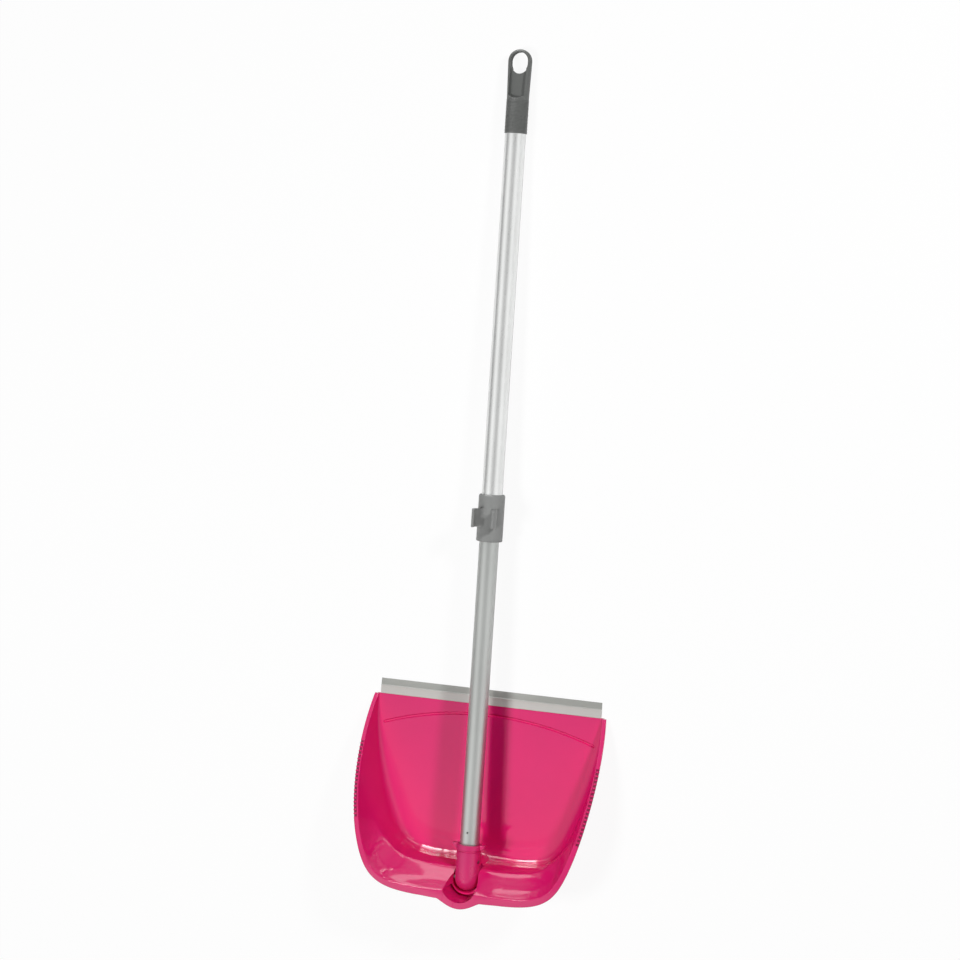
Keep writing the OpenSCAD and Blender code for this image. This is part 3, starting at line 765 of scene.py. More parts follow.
def scoop_shell(rule):
    """Points and faces of the scoop's shell."""
    half = scoop_half(rule)
    columns = half + [rows * np.array([-1, 1, 1]) for rows in half[-2::-1]]
    rows_n, cols_n = len(columns[0]), len(columns)
    points = [tuple(p) for rows in columns for p in rows]
    faces = []
    for c in range(cols_n - 1):
        for r in range(rows_n - 1):
            a, b = c * rows_n + r, (c + 1) * rows_n + r
            faces.append((a, a + 1, b + 1, b))
    # Each end is closed by a ladder between its inner and its outer rows
    for first in (0, (cols_n - 1) * rows_n):
        for k in range((rows_n - 1) // 2):
            corners = (k, k + 1, rows_n - 2 - k, rows_n - 1 - k)
            faces.append(tuple(first + r for r in dict.fromkeys(corners)))
    top_ring = [c * rows_n for c in range(cols_n)]
    low_ring = [c * rows_n + rows_n - 1 for c in range(cols_n)]
    faces.append((top_ring[0], low_ring[0], low_ring[-1], top_ring[-1]))
    faces.append(tuple(low_ring))
    # The inner floor with its groove
    flat = [Vector(points[i][:2]) for i in top_ring]
    owner = list(top_ring)
    edges = [(k, (k + 1) % len(flat)) for k in range(len(flat))]
    for line, level in groove_lines(rule):
        start = len(flat)
        for x, y in line:
            flat.append(Vector((x, y)))
            owner.append(len(points))
            points.append((x, y, level))
        edges += [(k, k + 1) for k in range(start, len(flat) - 1)]
    verts, _, triangles, origins, _, _ = delaunay_2d_cdt(flat, edges, [], 1, ONE_POINT)
    index = []
    for v, origin in zip(verts, origins):
        if origin:
            index.append(owner[origin[0]])
        else:
            index.append(len(points))
            points.append((v.x, v.y, rule.s.floor_thickness))
    faces += [tuple(index[i] for i in triangle) for triangle in triangles]
    return points, faces


# Cuts for the socket's room: overrun, rounding of their slabs, and how much deeper the cup is cut, so that
# no two faces lie in one place
ROOM_OVER, ROOM_SOFT, CUP_SPARE = 0.01, 0.0002, 0.00003
# Pocket behind the socket: angles of its ends, points along it, and its upper part's inner radius as a share
# of the room's
POCKET_ENDS, POCKET_POINTS, POCKET_SHARE = (math.radians(202), math.radians(338)), 40, 0.6
# Cup: points round it, height of its underside, and rounding of its edges
CUP_POINTS, CUP_FOOT, CUP_SOFT = 80, 0.0006, 0.0008


def socket_room(rule, spare):
    """Cutting meshes for the socket's room: the round pocket with its flared niche, and the way in front.
    With a spare, all its walls lie that much deeper."""
    s = rule.s
    room, floor, top = s.cup_room + spare, s.cup_floor - spare, s.rim_height + ROOM_OVER
    flare = (s.niche_radius - s.cup_room) / (s.rim_height - PIN.z)
    profile = [(floor, 0), (floor, room), (PIN.z, room),
               (top, s.niche_radius + flare * ROOM_OVER + spare), (top, 0)]
    niche = mesh_of("niche", [turned(profile)])
    niche.transform(Matrix.Translation((0, PIN.y, 0)))
    front = PIN.y + s.cup_radius + ROOM_OVER
    way = [(-room, PIN.y), (room, PIN.y), (room, front), (-room, front)]
    tools = [niche, mesh_of("way", [slab(way, floor, top, ROOM_SOFT)])]
    centre, (first, last) = (0, PIN.y), POCKET_ENDS
    for inner, low in ((POCKET_SHARE * room, s.shield_height), (s.shield_radius, s.cup_height)):
        pocket = arc_points(centre, s.niche_radius + spare, first, last, POCKET_POINTS)
        pocket += arc_points(centre, inner - spare, last, first, POCKET_POINTS)
        tools.append(mesh_of("pocket", [slab(pocket, low - spare, top, ROOM_SOFT)]))
    return tools


def hinge_cup(rule):
    """Points and faces of the cup under the socket, before the socket's room is cut."""
    s = rule.s
    disc = arc_points((0, PIN.y), s.cup_radius, 0, 2 * math.pi, CUP_POINTS)[:-1]
    return slab(disc, CUP_FOOT, s.cup_height, CUP_SOFT)


class DUSTPAN_OT_scoop(bpy.types.Operator):
    """Make the scoop with its flat rim, bulge, hinge cup and floor groove"""

    bl_idname = "dustpan.scoop"
    bl_label = "Scoop"

    def execute(self, context):
        rule = ScoopRule(context.scene.dustpan_scoop)
        parts = ((scoop_shell(rule), 0), (hinge_cup(rule), CUP_SPARE))
        cut_parts = [cut(mesh_of("part", [part]), socket_room(rule, spare)) for part, spare in parts]
        piece = finished("scoop", joined("scoop", cut_parts), materials()["scoop_plastic"])
        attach(piece, "pan")
        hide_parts("pan")
        return {"FINISHED"}


def tree_with(name, inputs):
    """A geometry tree with a geometry output and named inputs; returns it and its inputs' sockets."""
    tree = bpy.data.node_groups.new(name, "GeometryNodeTree")
    for label, kind, default in (("Geometry", "NodeSocketGeometry", None), *inputs):
        socket = tree.interface.new_socket(label, in_out="INPUT", socket_type=kind)
        if default is not None:
            socket.default_value = default
    tree.interface.new_socket("Geometry", in_out="OUTPUT", socket_type="NodeSocketGeometry")
    return tree, tree.nodes.new("NodeGroupInput").outputs


def planted(tree, given, points, thing, turn):
    """Ends a geometry tree: a thing on every point, with the turns where given, made real and dressed."""
    place = node(tree, "GeometryNodeInstanceOnPoints", {"Points": points, "Instance": thing, **turn})
    real = node(tree, "GeometryNodeRealizeInstances", {"Geometry": place.outputs["Instances"]})
    dress = node(tree, "GeometryNodeSetMaterial", {
        "Geometry": real.outputs["Geometry"], "Material": given["Material"]})
    node(tree, "NodeGroupOutput", {"Geometry": dress.outputs["Geometry"]})
    return tree


def grown(name, mesh, tree, values):
    """A plain mesh grown on a start mesh by a geometry tree with these input values."""
    source = scratch(mesh)
    step = source.modifiers.new(name, "NODES")
    step.node_group = tree
    for item in tree.interface.items_tree:
        if item.in_out == "INPUT" and item.name in values:
            step[item.identifier] = values[item.name]
    result = evaluated(source)
    result.name = name
    return result


# Rounding of the comb's teeth
TOOTH_LEVEL, TOOTH_CREASE = 2, 0.75


def comb_tree():
    """Rounded teeth on the start mesh's points, turned by their attribute."""
    tree, given = tree_with("comb_teeth", [
        ("Tooth Size", "NodeSocketVector", (0.002, 0.002, 0.002)),
        ("Material", "NodeSocketMaterial", None)])
    block = node(tree, "GeometryNodeMeshCube", {"Size": given["Tooth Size"]})
    soft = node(tree, "GeometryNodeSubdivisionSurface", {
        "Mesh": block.outputs["Mesh"], "Level": TOOTH_LEVEL, "Edge Crease": TOOTH_CREASE})
    turn = node(tree, "GeometryNodeInputNamedAttribute", {"Name": "turn"}, data_type="FLOAT_VECTOR")
    euler = node(tree, "FunctionNodeEulerToRotation", {0: turn.outputs["Attribute"]})
    turns = {"Rotation": euler.outputs[0]}
    return planted(tree, given, given["Geometry"], soft.outputs["Mesh"], turns)


# Shelf under the notches: overlap with the rim, place and thickness as shares of the rim's thickness
SHELF_OVERLAP, SHELF_SINK_SHARE, SHELF_THICK_SHARE = 0.0008, 0.4, 0.5
# Insets of its outer edge with shares of its thickness, overrun at its ends, and stations along it
SHELF_EDGE = ((0.0005, 1), (0.0001, 0.5), (0.0004, 0))
SHELF_OVER, SHELF_STATIONS = 0.0005, 40
# Teeth: share of the side over which the rim's run is taken, inset, overlap, and share of the rim's thickness
TOOTH_RUN_SHARE, TOOTH_INSET, TOOTH_OVERLAP, TOOTH_SHARE = 0.01, 0.00015, 0.0004, 0.94


def comb_shelf(rule, side):
    """Points and faces of the thin shelf that closes the notches from below."""
    s = rule.s
    low, high = rule.comb_range()
    inset, thick = s.notch_depth + SHELF_OVERLAP, s.rim_thickness * SHELF_THICK_SHARE
    section = ((inset, 0), (inset, 1), *SHELF_EDGE)
    points = []
    for depth in np.linspace(low - SHELF_OVER, high + SHELF_OVER, SHELF_STATIONS):
        t = rule.at_depth(depth)
        out, rim = rule.outward(t), rule.rim(t)
        z = rule.height(t) - rule.rim_fall(t) - s.rim_thickness * SHELF_SINK_SHARE
        for reach, share in section:
            x, y = rim - out * reach
            points.append((side * x, y, z - thick * share))
    return points, lofted(SHELF_STATIONS, len(section))


def tooth_at(rule, t, side):
    """Place and turn of a tooth on the rim of one side."""
    s, out = rule.s, rule.outward(t)
    ahead, back = t - TOOTH_RUN_SHARE, t + TOOTH_RUN_SHARE
    run = Vector((*(rule.rim(ahead) - rule.rim(back)), rule.height(ahead) - rule.height(back))).normalized()
    x_axis = Vector((*out, 0))
    x_axis = (x_axis - run * x_axis.dot(run)).normalized()
    base = rule.rim(t) - out * (s.notch_depth / 2 + TOOTH_INSET)
    top = rule.height(t) - rule.rim_fall(t)
    spot = Vector((*base, top - s.rim_thickness / 2 / x_axis.cross(run).z))
    if side < 0:
        # Mirrored, with its own x turned about to keep the axes right-handed
        x_axis, run = Vector((x_axis.x, -x_axis.y, -x_axis.z)), Vector((-run.x, run.y, run.z))
        spot.x = -spot.x
    turn = Matrix((x_axis, run, x_axis.cross(run))).transposed().to_euler()
    return tuple(spot), tuple(turn)


class DUSTPAN_OT_comb(bpy.types.Operator):
    """Make the teeth of the two combs in the side rims"""

    bl_idname = "dustpan.comb"
    bl_label = "Comb teeth"

    def execute(self, context):
        s = context.scene.dustpan_scoop
        rule = ScoopRule(s)
        pitch = s.comb_length / (s.notches - 1)
        spots = [rule.at_depth(s.comb_from + (k + 0.5) * pitch) for k in range(s.notches - 1)]
        places, turns = zip(*[tooth_at(rule, t, side) for side in (1, -1) for t in spots])
        mesh = bpy.data.meshes.new("comb_points")
        mesh.from_pydata(places, [], [])
        attribute = mesh.attributes.new("turn", "FLOAT_VECTOR", "POINT")
        attribute.data.foreach_set("vector", np.array(turns, np.float32).ravel())
        plastic = materials()["scoop_plastic"]
        size = (s.notch_depth + TOOTH_OVERLAP, pitch - s.notch_width, s.rim_thickness * TOOTH_SHARE)
        teeth = grown("comb_teeth", mesh, comb_tree(), {"Tooth Size": size, "Material": plastic})
        # The shelf under the notches carries the painted shade of the comb's gaps
        beds = mesh_of("comb_beds", [comb_shelf(rule, side) for side in (1, -1)])
        for piece in (finished("comb_teeth", teeth, plastic),
                      finished("comb_beds", beds, materials()["comb_painted_shade"])):
            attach(piece, "pan")
        return {"FINISHED"}


# Upper side of the lip, as shares of its length and of its thickness at the scoop
LIP_TOP_SHARES = (
    (0.25, 0.95), (0.46, 0.87), (0.5, 0.97), (0.53, 1),
    (0.56, 0.96), (0.585, 0.72), (0.62, 0.69), (0.8, 0.54))
# Its free edge: insets from its reach, and shares of its thickness there; then the edge's foot
LIP_EDGE = ((0.0006, 1), (0.0001, 0.8), (0, 0.5))
LIP_FOOT = (0.0002, 0.00003)
# Gap to the scoop, rounding at the scoop, and width and drop of the rounded ends
LIP_GAP, LIP_SOFT = 0.00002, 0.0003
LIP_END, LIP_END_DROP = 0.0004, 0.0003
# Stations between the ends, and how far they stay off the ends
LIP_STATIONS, STATIONS_OFF = 81, 0.001
# Crease: place from the left end, half its width, its drop, and the points of the section that drop
CREASE_AT, CREASE_HALF, CREASE_DROP = 0.0285, 0.0005, 0.0005
CREASE_POINTS = range(2, 7)


def lip_body(s):
    """Points and faces of the lip: its section at many stations from left to right."""
    t, e, n, half = s.lip_thickness, s.lip_edge, s.lip_length, s.lip_width / 2
    upper = [(LIP_GAP, t - LIP_SOFT), (LIP_GAP + LIP_SOFT, t)]
    upper += [(n * along, t * share) for along, share in LIP_TOP_SHARES]
    upper += [(n - inset, e * share) for inset, share in LIP_EDGE]
    profile = upper + [(n - LIP_FOOT[0], LIP_FOOT[1]), (n * 0.5, 0), (LIP_GAP, 0)]
    crease = -half + CREASE_AT
    stops = sorted({-half, -half + LIP_END, half - LIP_END, half,
                    crease - CREASE_HALF, crease, crease + CREASE_HALF,
                    *np.linspace(-half + STATIONS_OFF, half - STATIONS_OFF, LIP_STATIONS)})
    points = []
    for x in stops:
        for k, (y, z) in enumerate(profile):
            drop = CREASE_DROP if x == crease and k in CREASE_POINTS else 0
            inset = LIP_END_DROP if abs(x) == half and k < len(upper) else 0
            points.append((x, s.front_y + y, max(z - drop - inset, 0)))
    return points, lofted(len(stops), len(profile))


class DUSTPAN_OT_lip(bpy.types.Operator):
    """Make the soft lip with its two bands and the ridge between them"""

    bl_idname = "dustpan.lip"
    bl_label = "Soft lip"

    def execute(self, context):
        mesh = mesh_of("lip", [lip_body(context.scene.dustpan_scoop)])
        piece = finished("lip", mesh, materials()["lip_rubber"])
        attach(piece, "pan")
        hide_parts("lip_blade")
        return {"FINISHED"}


# Handle

# Play of a tube in a bore round it and in the collar's narrow end
TUBE_PLAY, COLLAR_PLAY = 0.00003, 0.00005
# Reach and rounding of cuts through the handle
CUT_REACH, CUT_SOFT = 0.02, 0.0001
# Radii of the screw's hole, its recess and the hinge pin's hole; start of the hole, and depth of the recess
SCREW_HOLE, SCREW_RECESS, PIN_HOLE = 0.00132, 0.0024, 0.00305
HOLE_FROM, RECESS_DEPTH = 0.008, 0.0013


def on_handle(mesh):
    """Places a mesh made along the handle's own axis."""
    mesh.transform(HANDLE)
    return mesh


def radial(turn, reach, at):
    """A point off the handle's axis, turned from its top."""
    return (*polar((0, 0), reach, turn - math.pi / 2), at)


def side_hole(turn, at, inner, outer, radius):
    """A bar that cuts a hole into the handle from one side."""
    return round_bar(radial(turn, inner, at), radial(turn, outer, at), radius)


def screw_hole(h):
    """A bar that cuts the socket screw's hole."""
    return side_hole(h.screw_turn, h.screw_at, HOLE_FROM, CUT_REACH, SCREW_HOLE)


def stepped(at, radius, steps):
    """Profile points at small steps along and out from a place."""
    return [(at + along, radius + out) for along, out in steps]


# Small steps of the socket's profile, along and out: before the ring, at its start, at its end, and at the
# bore's mouth
SOCKET_NECK = ((-0.0017, 0), (-0.0012, -0.0009), (-0.0001, -0.0009))
RING_START = ((0.0001, -0.0004), (0.0005, 0))
RING_END = ((-0.0008, 0), (-0.0002, -0.0003), (0, -0.0009))
BORE_MOUTH = ((0, 0.0008), (-0.0003, 0.0002), (-0.001, 0))
DOME_POINTS = 24
# The wings' rounding, their corner at the mouth, and the share of the ring where they have their full width
WING_SOFT, WING_CORNER, WING_SHARE = 0.0007, (0.0002, 0.0003), 0.3


def socket_body(h):
    """The socket's round body and its two wings."""
    r, to, ring = h.socket_radius, h.socket_length, h.ring_radius
    low, bore = to - h.ring_length, h.lower_radius + TUBE_PLAY
    profile = [(-r * math.cos(a), r * math.sin(a)) for a in np.linspace(0, math.pi / 2, DOME_POINTS)]
    profile += stepped(low, r, SOCKET_NECK) + stepped(low, ring, RING_START)
    profile += stepped(to, ring, RING_END) + stepped(to, bore, BORE_MOUTH)
    profile += [(h.tube_from, bore), (h.tube_from, 0)]
    half, root = h.wing_width / 2, r - h.ring_length / 2
    wing = [(half - WING_CORNER[0], to), (root, to), (root, low), (r, low),
            (half, to - h.ring_length * WING_SHARE), (half, to - WING_CORNER[1])]
    parts = [turned(profile)]
    for side in (-1, 1):
        parts.append(slab(wing, -h.wing_up, h.wing_height - h.wing_up, WING_SOFT,
                          place=lambda u, v, w, side=side: (side * u, w, v)))
    return mesh_of("socket", parts)


class DUSTPAN_OT_socket(bpy.types.Operator):
    """Make the round-ended socket with its ring, wings and screw recess"""

    bl_idname = "dustpan.socket"
    bl_label = "Handle socket"

    def execute(self, context):
        h = context.scene.dustpan_handle
        inner = h.socket_radius - RECESS_DEPTH
        recess = side_hole(h.screw_turn, h.screw_at, inner, CUT_REACH, SCREW_RECESS)
        pin = round_bar((-CUT_REACH, 0, 0), (CUT_REACH, 0, 0), PIN_HOLE)
        mesh = cut(socket_body(h), [screw_hole(h), recess, pin])
        piece = finished("socket", on_handle(mesh), materials()["socket_plastic"])
        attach(piece, "lower_handle")
        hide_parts("handle_socket")
        return {"FINISHED"}


# Steps along a tube, rounding of the lower and upper tube's ends, and reach of the punched hole's cut
TUBE_STEPS = 40
LOWER_SOFT, UPPER_SOFT = 0.00025, 0.000125
PUNCH_FROM, PUNCH_TO = 0.005, 0.015


def tube_mesh(name, start, end, radius, wall, soft):
    """A tube with softened ends, with enough steps along it."""
    profile = [(start, radius - soft), (start + soft, radius)]
    profile += [(start + (end - start) * k / TUBE_STEPS, radius) for k in range(1, TUBE_STEPS)]
    profile += [(end - soft, radius), (end, radius - soft), (end, radius - wall), (start, radius - wall)]
    return mesh_of(name, [turned(profile)])


class DUSTPAN_OT_tubes(bpy.types.Operator):
    """Make the lower and the upper tube of the handle"""

    bl_idname = "dustpan.tubes"
    bl_label = "Tubes"

    def execute(self, context):
        h = context.scene.dustpan_handle
        lower = tube_mesh("lower_tube", h.tube_from, h.lower_to, h.lower_radius, h.lower_wall, LOWER_SOFT)
        upper = tube_mesh("upper_tube", h.upper_from, h.upper_to, h.upper_radius, h.upper_wall, UPPER_SOFT)
        punch = side_hole(0, h.punch_at, PUNCH_FROM, PUNCH_TO, h.punch_radius)
        lower = cut(lower, [punch, screw_hole(h)])
        low = finished("tube_lower", on_handle(lower), materials()["lower_tube_metal"])
        up = finished("tube_upper", on_handle(upper), materials()["upper_tube_metal"])
        tubes = ((low, "lower_handle", "lower_tube"), (up, "upper_handle", "upper_tube"))
        for piece, body, solid in tubes:
            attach(piece, body)
            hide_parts(solid)
        return {"FINISHED"}


# Small steps of the collar's profile, along and out: its ends outside, and its wide and narrow bore's mouths
COLLAR_NEAR = ((0, -0.001), (0.0002, -0.0004), (0.0008, 0))
COLLAR_FAR = ((-0.0016, 0), (-0.0004, -0.0007), (0, -0.0014))
WIDE_MOUTH = ((0, 0.0004), (-0.0006, 0))
NARROW_MOUTH = ((0.0005, 0), (0, 0.0004))
COLLAR_STEPS = 12
# The clip's rounding, and points along its arms and round their tips
CLIP_SOFT, ARM_POINTS, TIP_POINTS = 0.0006, 72, 10
# The web between collar and clip: rounding, flare towards the collar, reach into the clip and off the bore
WEB_SOFT, WEB_FLARE, WEB_IN_CLIP, WEB_OFF_BORE = 0.0005, 0.0012, 0.001, 0.0008


def collar_body(h, bore):
    """Points and faces of the collar's round body."""
    r, start, end = h.collar_radius, h.collar_from, h.collar_from + h.collar_length
    low_bore = h.lower_radius + COLLAR_PLAY
    profile = stepped(start, r, COLLAR_NEAR)
    near, far = profile[-1][0], end + COLLAR_FAR[0][0]
    profile += [(near + (far - near) * k / COLLAR_STEPS, r) for k in range(1, COLLAR_STEPS)]
    profile += stepped(end, r, COLLAR_FAR) + stepped(end, bore, WIDE_MOUTH)
    profile += [(h.upper_from, bore), (h.upper_from, low_bore)]
    return turned(profile + stepped(start, low_bore, NARROW_MOUTH))


def clip_outline(h):
    """Outline of the clip's two arms round the stick, with round tips."""
    inner, outer = h.clip_radius, h.clip_radius + h.clip_wall
    gap, up = (2 * math.pi - h.clip_wrap) / 2, -math.pi / 2
    first, last = up + gap, up + 2 * math.pi - gap
    centre, mid, tip = (0, -h.clip_axis), (inner + outer) / 2, h.clip_wall / 2
    outline = arc_points(centre, outer, first, last, ARM_POINTS)
    outline += arc_points(polar(centre, mid, last), tip, last, last + math.pi, TIP_POINTS)[1:]
    outline += arc_points(centre, inner, last, first, ARM_POINTS)[1:]
    first_tip = polar(centre, mid, first)
    return outline + arc_points(first_tip, tip, first + math.pi, first + 2 * math.pi, TIP_POINTS)[1:-1]


class DUSTPAN_OT_collar(bpy.types.Operator):
    """Make the collar with its open broom clip"""

    bl_idname = "dustpan.collar"
    bl_label = "Collar and clip"

    def execute(self, context):
        h = context.scene.dustpan_handle
        bore = h.upper_radius + TUBE_PLAY
        clip_from = h.collar_from + h.clip_from
        clip_to = clip_from + h.clip_length
        wide, flared = h.clip_wall, h.clip_wall + WEB_FLARE
        top, foot = -h.clip_axis + h.clip_radius + WEB_IN_CLIP, -bore - WEB_OFF_BORE
        web = [(-wide, top), (wide, top), (flared, foot), (-flared, foot)]
        mesh = mesh_of("collar", [
            collar_body(h, bore),
            slab(clip_outline(h), clip_from, clip_to, CLIP_SOFT),
            slab(web, clip_from, clip_to, WEB_SOFT)])
        piece = finished("collar_clip", on_handle(mesh), materials()["collar_plastic"])
        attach(piece, "upper_handle")
        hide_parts("collar")
        return {"FINISHED"}


def hull_of(points):
    """A closed convex mesh over points."""
    shell = bmesh.new()
    for p in points:
        shell.verts.new(p)
    bmesh.ops.convex_hull(shell, input=shell.verts)
    loose = [v for v in shell.verts if not v.link_faces]
    bmesh.ops.delete(shell, geom=loose, context="VERTS")
    bmesh.ops.recalc_face_normals(shell, faces=shell.faces)
    return plain_mesh("hull", shell)


# Points round a fine ring and round its wire
RING_POINTS, WIRE_POINTS = 96, 8


def ring_tree():
    """Fine rings stacked along the handle's axis."""
    tree, given = tree_with("grip_rings", [
        ("Radius", "NodeSocketFloat", 0.012),
        ("Thickness", "NodeSocketFloat", 0.0005),
        ("Count", "NodeSocketInt", 12),
        ("Pitch", "NodeSocketFloat", 0.002),
        ("Material", "NodeSocketMaterial", None)])
    step = node(tree, "ShaderNodeCombineXYZ", {"Z": given["Pitch"]})
    line = node(tree, "GeometryNodeMeshLine", {
        "Count": given["Count"], "Offset": step.outputs["Vector"]}, mode="OFFSET")
    path, wire = [
        node(tree, "GeometryNodeCurvePrimitiveCircle", {"Resolution": count, "Radius": given[size]})
        for count, size in ((RING_POINTS, "Radius"), (WIRE_POINTS, "Thickness"))]
    sweep = node(tree, "GeometryNodeCurveToMesh", {
        "Curve": path.outputs["Curve"], "Profile Curve": wire.outputs["Curve"]})
    return planted(tree, given, line.outputs["Mesh"], sweep.outputs["Mesh"], {})


# Ferrule: small steps at its start, steps along it, how far it ends before the flat end's start, and how far
# the flat end reaches back over it
FERRULE_START = ((0, -0.0001), (0.0003, 0.0001))
FERRULE_STEPS, FERRULE_SHORT, FERRULE_OVERLAP = 12, 0.002, 0.0035
# Flat end: insets of radius and half thickness at its rounded edge, points round it, and the crease angle
EDGE_INSETS = ((0, 0.0016), (0.0005, 0.0006), (0.0016, 0))
HULL_POINTS, GRIP_CREASE = 96, math.radians(60)
# Grid and passes that soften the flat end
SOFT_GRID, SOFT_PASSES = 0.00035, 6
# Points round the hanging hole's ends and the recess's round end, the bore's overrun, the recess cut's top
HOLE_POINTS, RECESS_POINTS = 32, 24
BORE_OVER, RECESS_TOP = 0.001, 0.03
# Length of the ferrule without rings, and the first ring's place as a share of the pitch
RINGS_SHORT, FIRST_RING_SHARE = 0.001, 0.6


def ferrule_mesh(h, core, bore):
    """The grip's round part, under its rings."""
    start, end = h.grip_from, h.grip_from + h.ferrule_length - FERRULE_SHORT
    profile = stepped(start, core, FERRULE_START)
    profile += [(start + h.ferrule_length * k / FERRULE_STEPS, core) for k in range(1, FERRULE_STEPS)]
    return mesh_of("ferrule", [turned(profile + [(end, core), (end, bore), (start, bore)])])


def flat_end(h, core, join):
    """Hull over the ferrule's end and a disc with a rounded edge."""
    disc, half = h.paddle_width / 2, h.paddle_thickness / 2
    mid = join + h.paddle_length - disc
    around = [2 * math.pi * k / HULL_POINTS for k in range(HULL_POINTS)]
    ends = (join - FERRULE_OVERLAP, join)
    points = [(core * math.cos(a), core * math.sin(a), s) for a in around for s in ends]
    for inset, thin in EDGE_INSETS:
        r, t = disc - inset, half - thin
        points += [(r * math.cos(a), side * t, mid + r * math.sin(a)) for a in around for side in (-1, 1)]
    return hull_of(points)


def grip_cuts(h, bore, join):
    """Cutting meshes for the hanging hole, the tube's bore and the two thumb recesses."""
    hole_r, run = h.hole_width / 2, (h.hole_length - h.hole_width) / 2
    hole_mid = join + h.paddle_length - (h.paddle_width - h.hole_width) / 2 - h.hole_length / 2
    hole = arc_points((0, hole_mid + run), hole_r, 0, math.pi, HOLE_POINTS)
    hole += arc_points((0, hole_mid - run), hole_r, math.pi, 2 * math.pi, HOLE_POINTS)
    wide, end_r = h.recess_width / 2, h.recess_radius
    bend = math.acos(wide / end_r)
    recess = arc_points((0, join + end_r), end_r, math.pi + bend, 2 * math.pi - bend, RECESS_POINTS)
    recess += [(wide, hole_mid), (-wide, hole_mid)]
    shapes = [slab(hole, -CUT_REACH, CUT_REACH, CUT_SOFT, place=lambda u, v, w: (u, w, v))]
    for side in (-1, 1):
        shapes.append(slab(recess, h.web / 2, RECESS_TOP, CUT_SOFT,
                           place=lambda u, v, w, side=side: (u, side * w, v)))
    tools = [mesh_of("grip_cut", [shape]) for shape in shapes]
    tools.insert(1, round_bar((0, 0, h.grip_from - BORE_OVER), (0, 0, h.upper_to), bore, HULL_POINTS))
    return tools


class DUSTPAN_OT_grip(bpy.types.Operator):
    """Make the grip: ringed ferrule, flat end, hanging hole and thumb recesses"""

    bl_idname = "dustpan.grip"
    bl_label = "Grip"

    def execute(self, context):
        h = context.scene.dustpan_handle
        plastic = materials()["grip_plastic"]
        join = h.grip_from + h.ferrule_length
        core, bore = h.ferrule_radius - h.ring_wire, h.upper_radius + TUBE_PLAY
        paddle = softened(cut(flat_end(h, core, join), grip_cuts(h, bore, join)), SOFT_GRID, SOFT_PASSES)
        mesh = joined("grip", [ferrule_mesh(h, core, bore), paddle])
        piece = finished("grip_end", on_handle(mesh), plastic, GRIP_CREASE)
        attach(piece, "upper_handle")
        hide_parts("grip")
        pitch = (h.ferrule_length - RINGS_SHORT) / h.rings
        seed = bpy.data.meshes.new("ring_start")
        seed.from_pydata([(0, 0, 0)], [], [])
        rings = grown("grip_rings", seed, ring_tree(), {
            "Radius": core, "Thickness": h.ring_wire, "Count": h.rings, "Pitch": pitch, "Material": plastic})
        rings.transform(Matrix.Translation((0, 0, h.grip_from + pitch * FIRST_RING_SHARE)))
        rings = finished("grip_rings", on_handle(rings), plastic)
        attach(rings, "upper_handle")
        return {"FINISHED"}


class DUSTPAN_OT_hidden(bpy.types.Operator):
    """Dress the pin, the screws and the twist lock, which keep their solid shapes"""

    bl_idname = "dustpan.hidden"
    bl_label = "Pin, screws and lock"

    def execute(self, context):
        steel, lock = materials()["fastener_steel"], materials()["lock_plastic"]
        finishes = {
            "hinge_pin": steel, "socket_screw": steel, "cam_washer": steel, "cam_screw": steel,
            "cam_core": lock, "cam_sleeve": lock}
        for name, material in finishes.items():
            mesh = frame["nodes"][name].data
            mesh.materials.clear()
            mesh.materials.append(material)
        return {"FINISHED"}


# Studio: strength of the world's soft light, and what mirrors see of the walls from left to right
WORLD_SOFT = 0.02
WALLS = ((-1, 0.35), (-0.85, 0.75), (-0.6, 1.22), (-0.42, 1.28), (-0.25, 1.06), (0, 0.78), (0.3, 0.62),
         (0.55, 0.85), (0.8, 1.22), (0.95, 1.15), (1, 0.85))
WALLS_TOP = 1.6
# Gain of the walls towards the back, and where it starts and is full
BACK_GAIN, BACK_FROM, BACK_FULL = 0.9, 0.2, 0.34
WHITE = (1, 1, 1, 1)
# Floor: reach to each side, gap under the part, tone, and the share of its glow that camera and mirrors see
FLOOR_REACH, FLOOR_GAP = 40, 0.0004
FLOOR_TONE = (0.92, 0.92, 0.92, 1)
FLOOR_SEEN, FLOOR_MIRRORED = 0.925, 0.1
# Lamps: place, what each looks at, width, height, watts, and the rays that don't see it
LAMPS = {
    "key": ((-0.68, 0.1, 2.25), (0, 0.1, 0), 0.5, 0.5, 35, ("glossy",)),
    "fill": ((1.5, 1.4, 1.5), (0, 0, 0), 0.28, 0.28, 29, ("glossy",)),
    "front_left": ((-1.04, 2.4, 0.42), (0, -0.09, 0), 0.56, 0.72, 27, ("diffuse",)),
    "front_right": ((-0.4, 2.4, 0.42), (0, -0.09, 0), 0.54, 0.72, 26, ("diffuse",)),
    "streak": ((1.2, 1.95, 1.4), (0, 0, 0), 1.3, 0.08, 4, ("diffuse",)),
    "card_left": ((-0.0995, 0.1, 0.0235), (-0.0995, 0, 0.0235), 0.069, 0.021, 0.0121, ("diffuse", "camera")),
    "card_right": ((-0.0075, 0.1, 0.018), (-0.0075, 0, 0.018), 0.105, 0.032, 0.028, ("diffuse", "camera")),
}
# Camera, fitted to the photograph: its right, up and back directions, and its place
CAMERA_AXES = (
    (0.950818, 0.050131, -0.305667), (-0.084098, 0.991529, -0.098983), (0.298115, 0.119821, 0.946979))
CAMERA_PLACE = (0.74532, 0.6285, 2.44465)
# Its sensor and lens in millimetres, and the nearest and farthest distance that it sees
SENSOR, LENS = 36, 90
NEAREST, FARTHEST = 0.05, 100


def mixed(tree, share, first, second):
    """A shader between two, by a share."""
    return node(tree, "ShaderNodeMixShader", {0: share, 1: first.outputs[0], 2: second.outputs[0]})


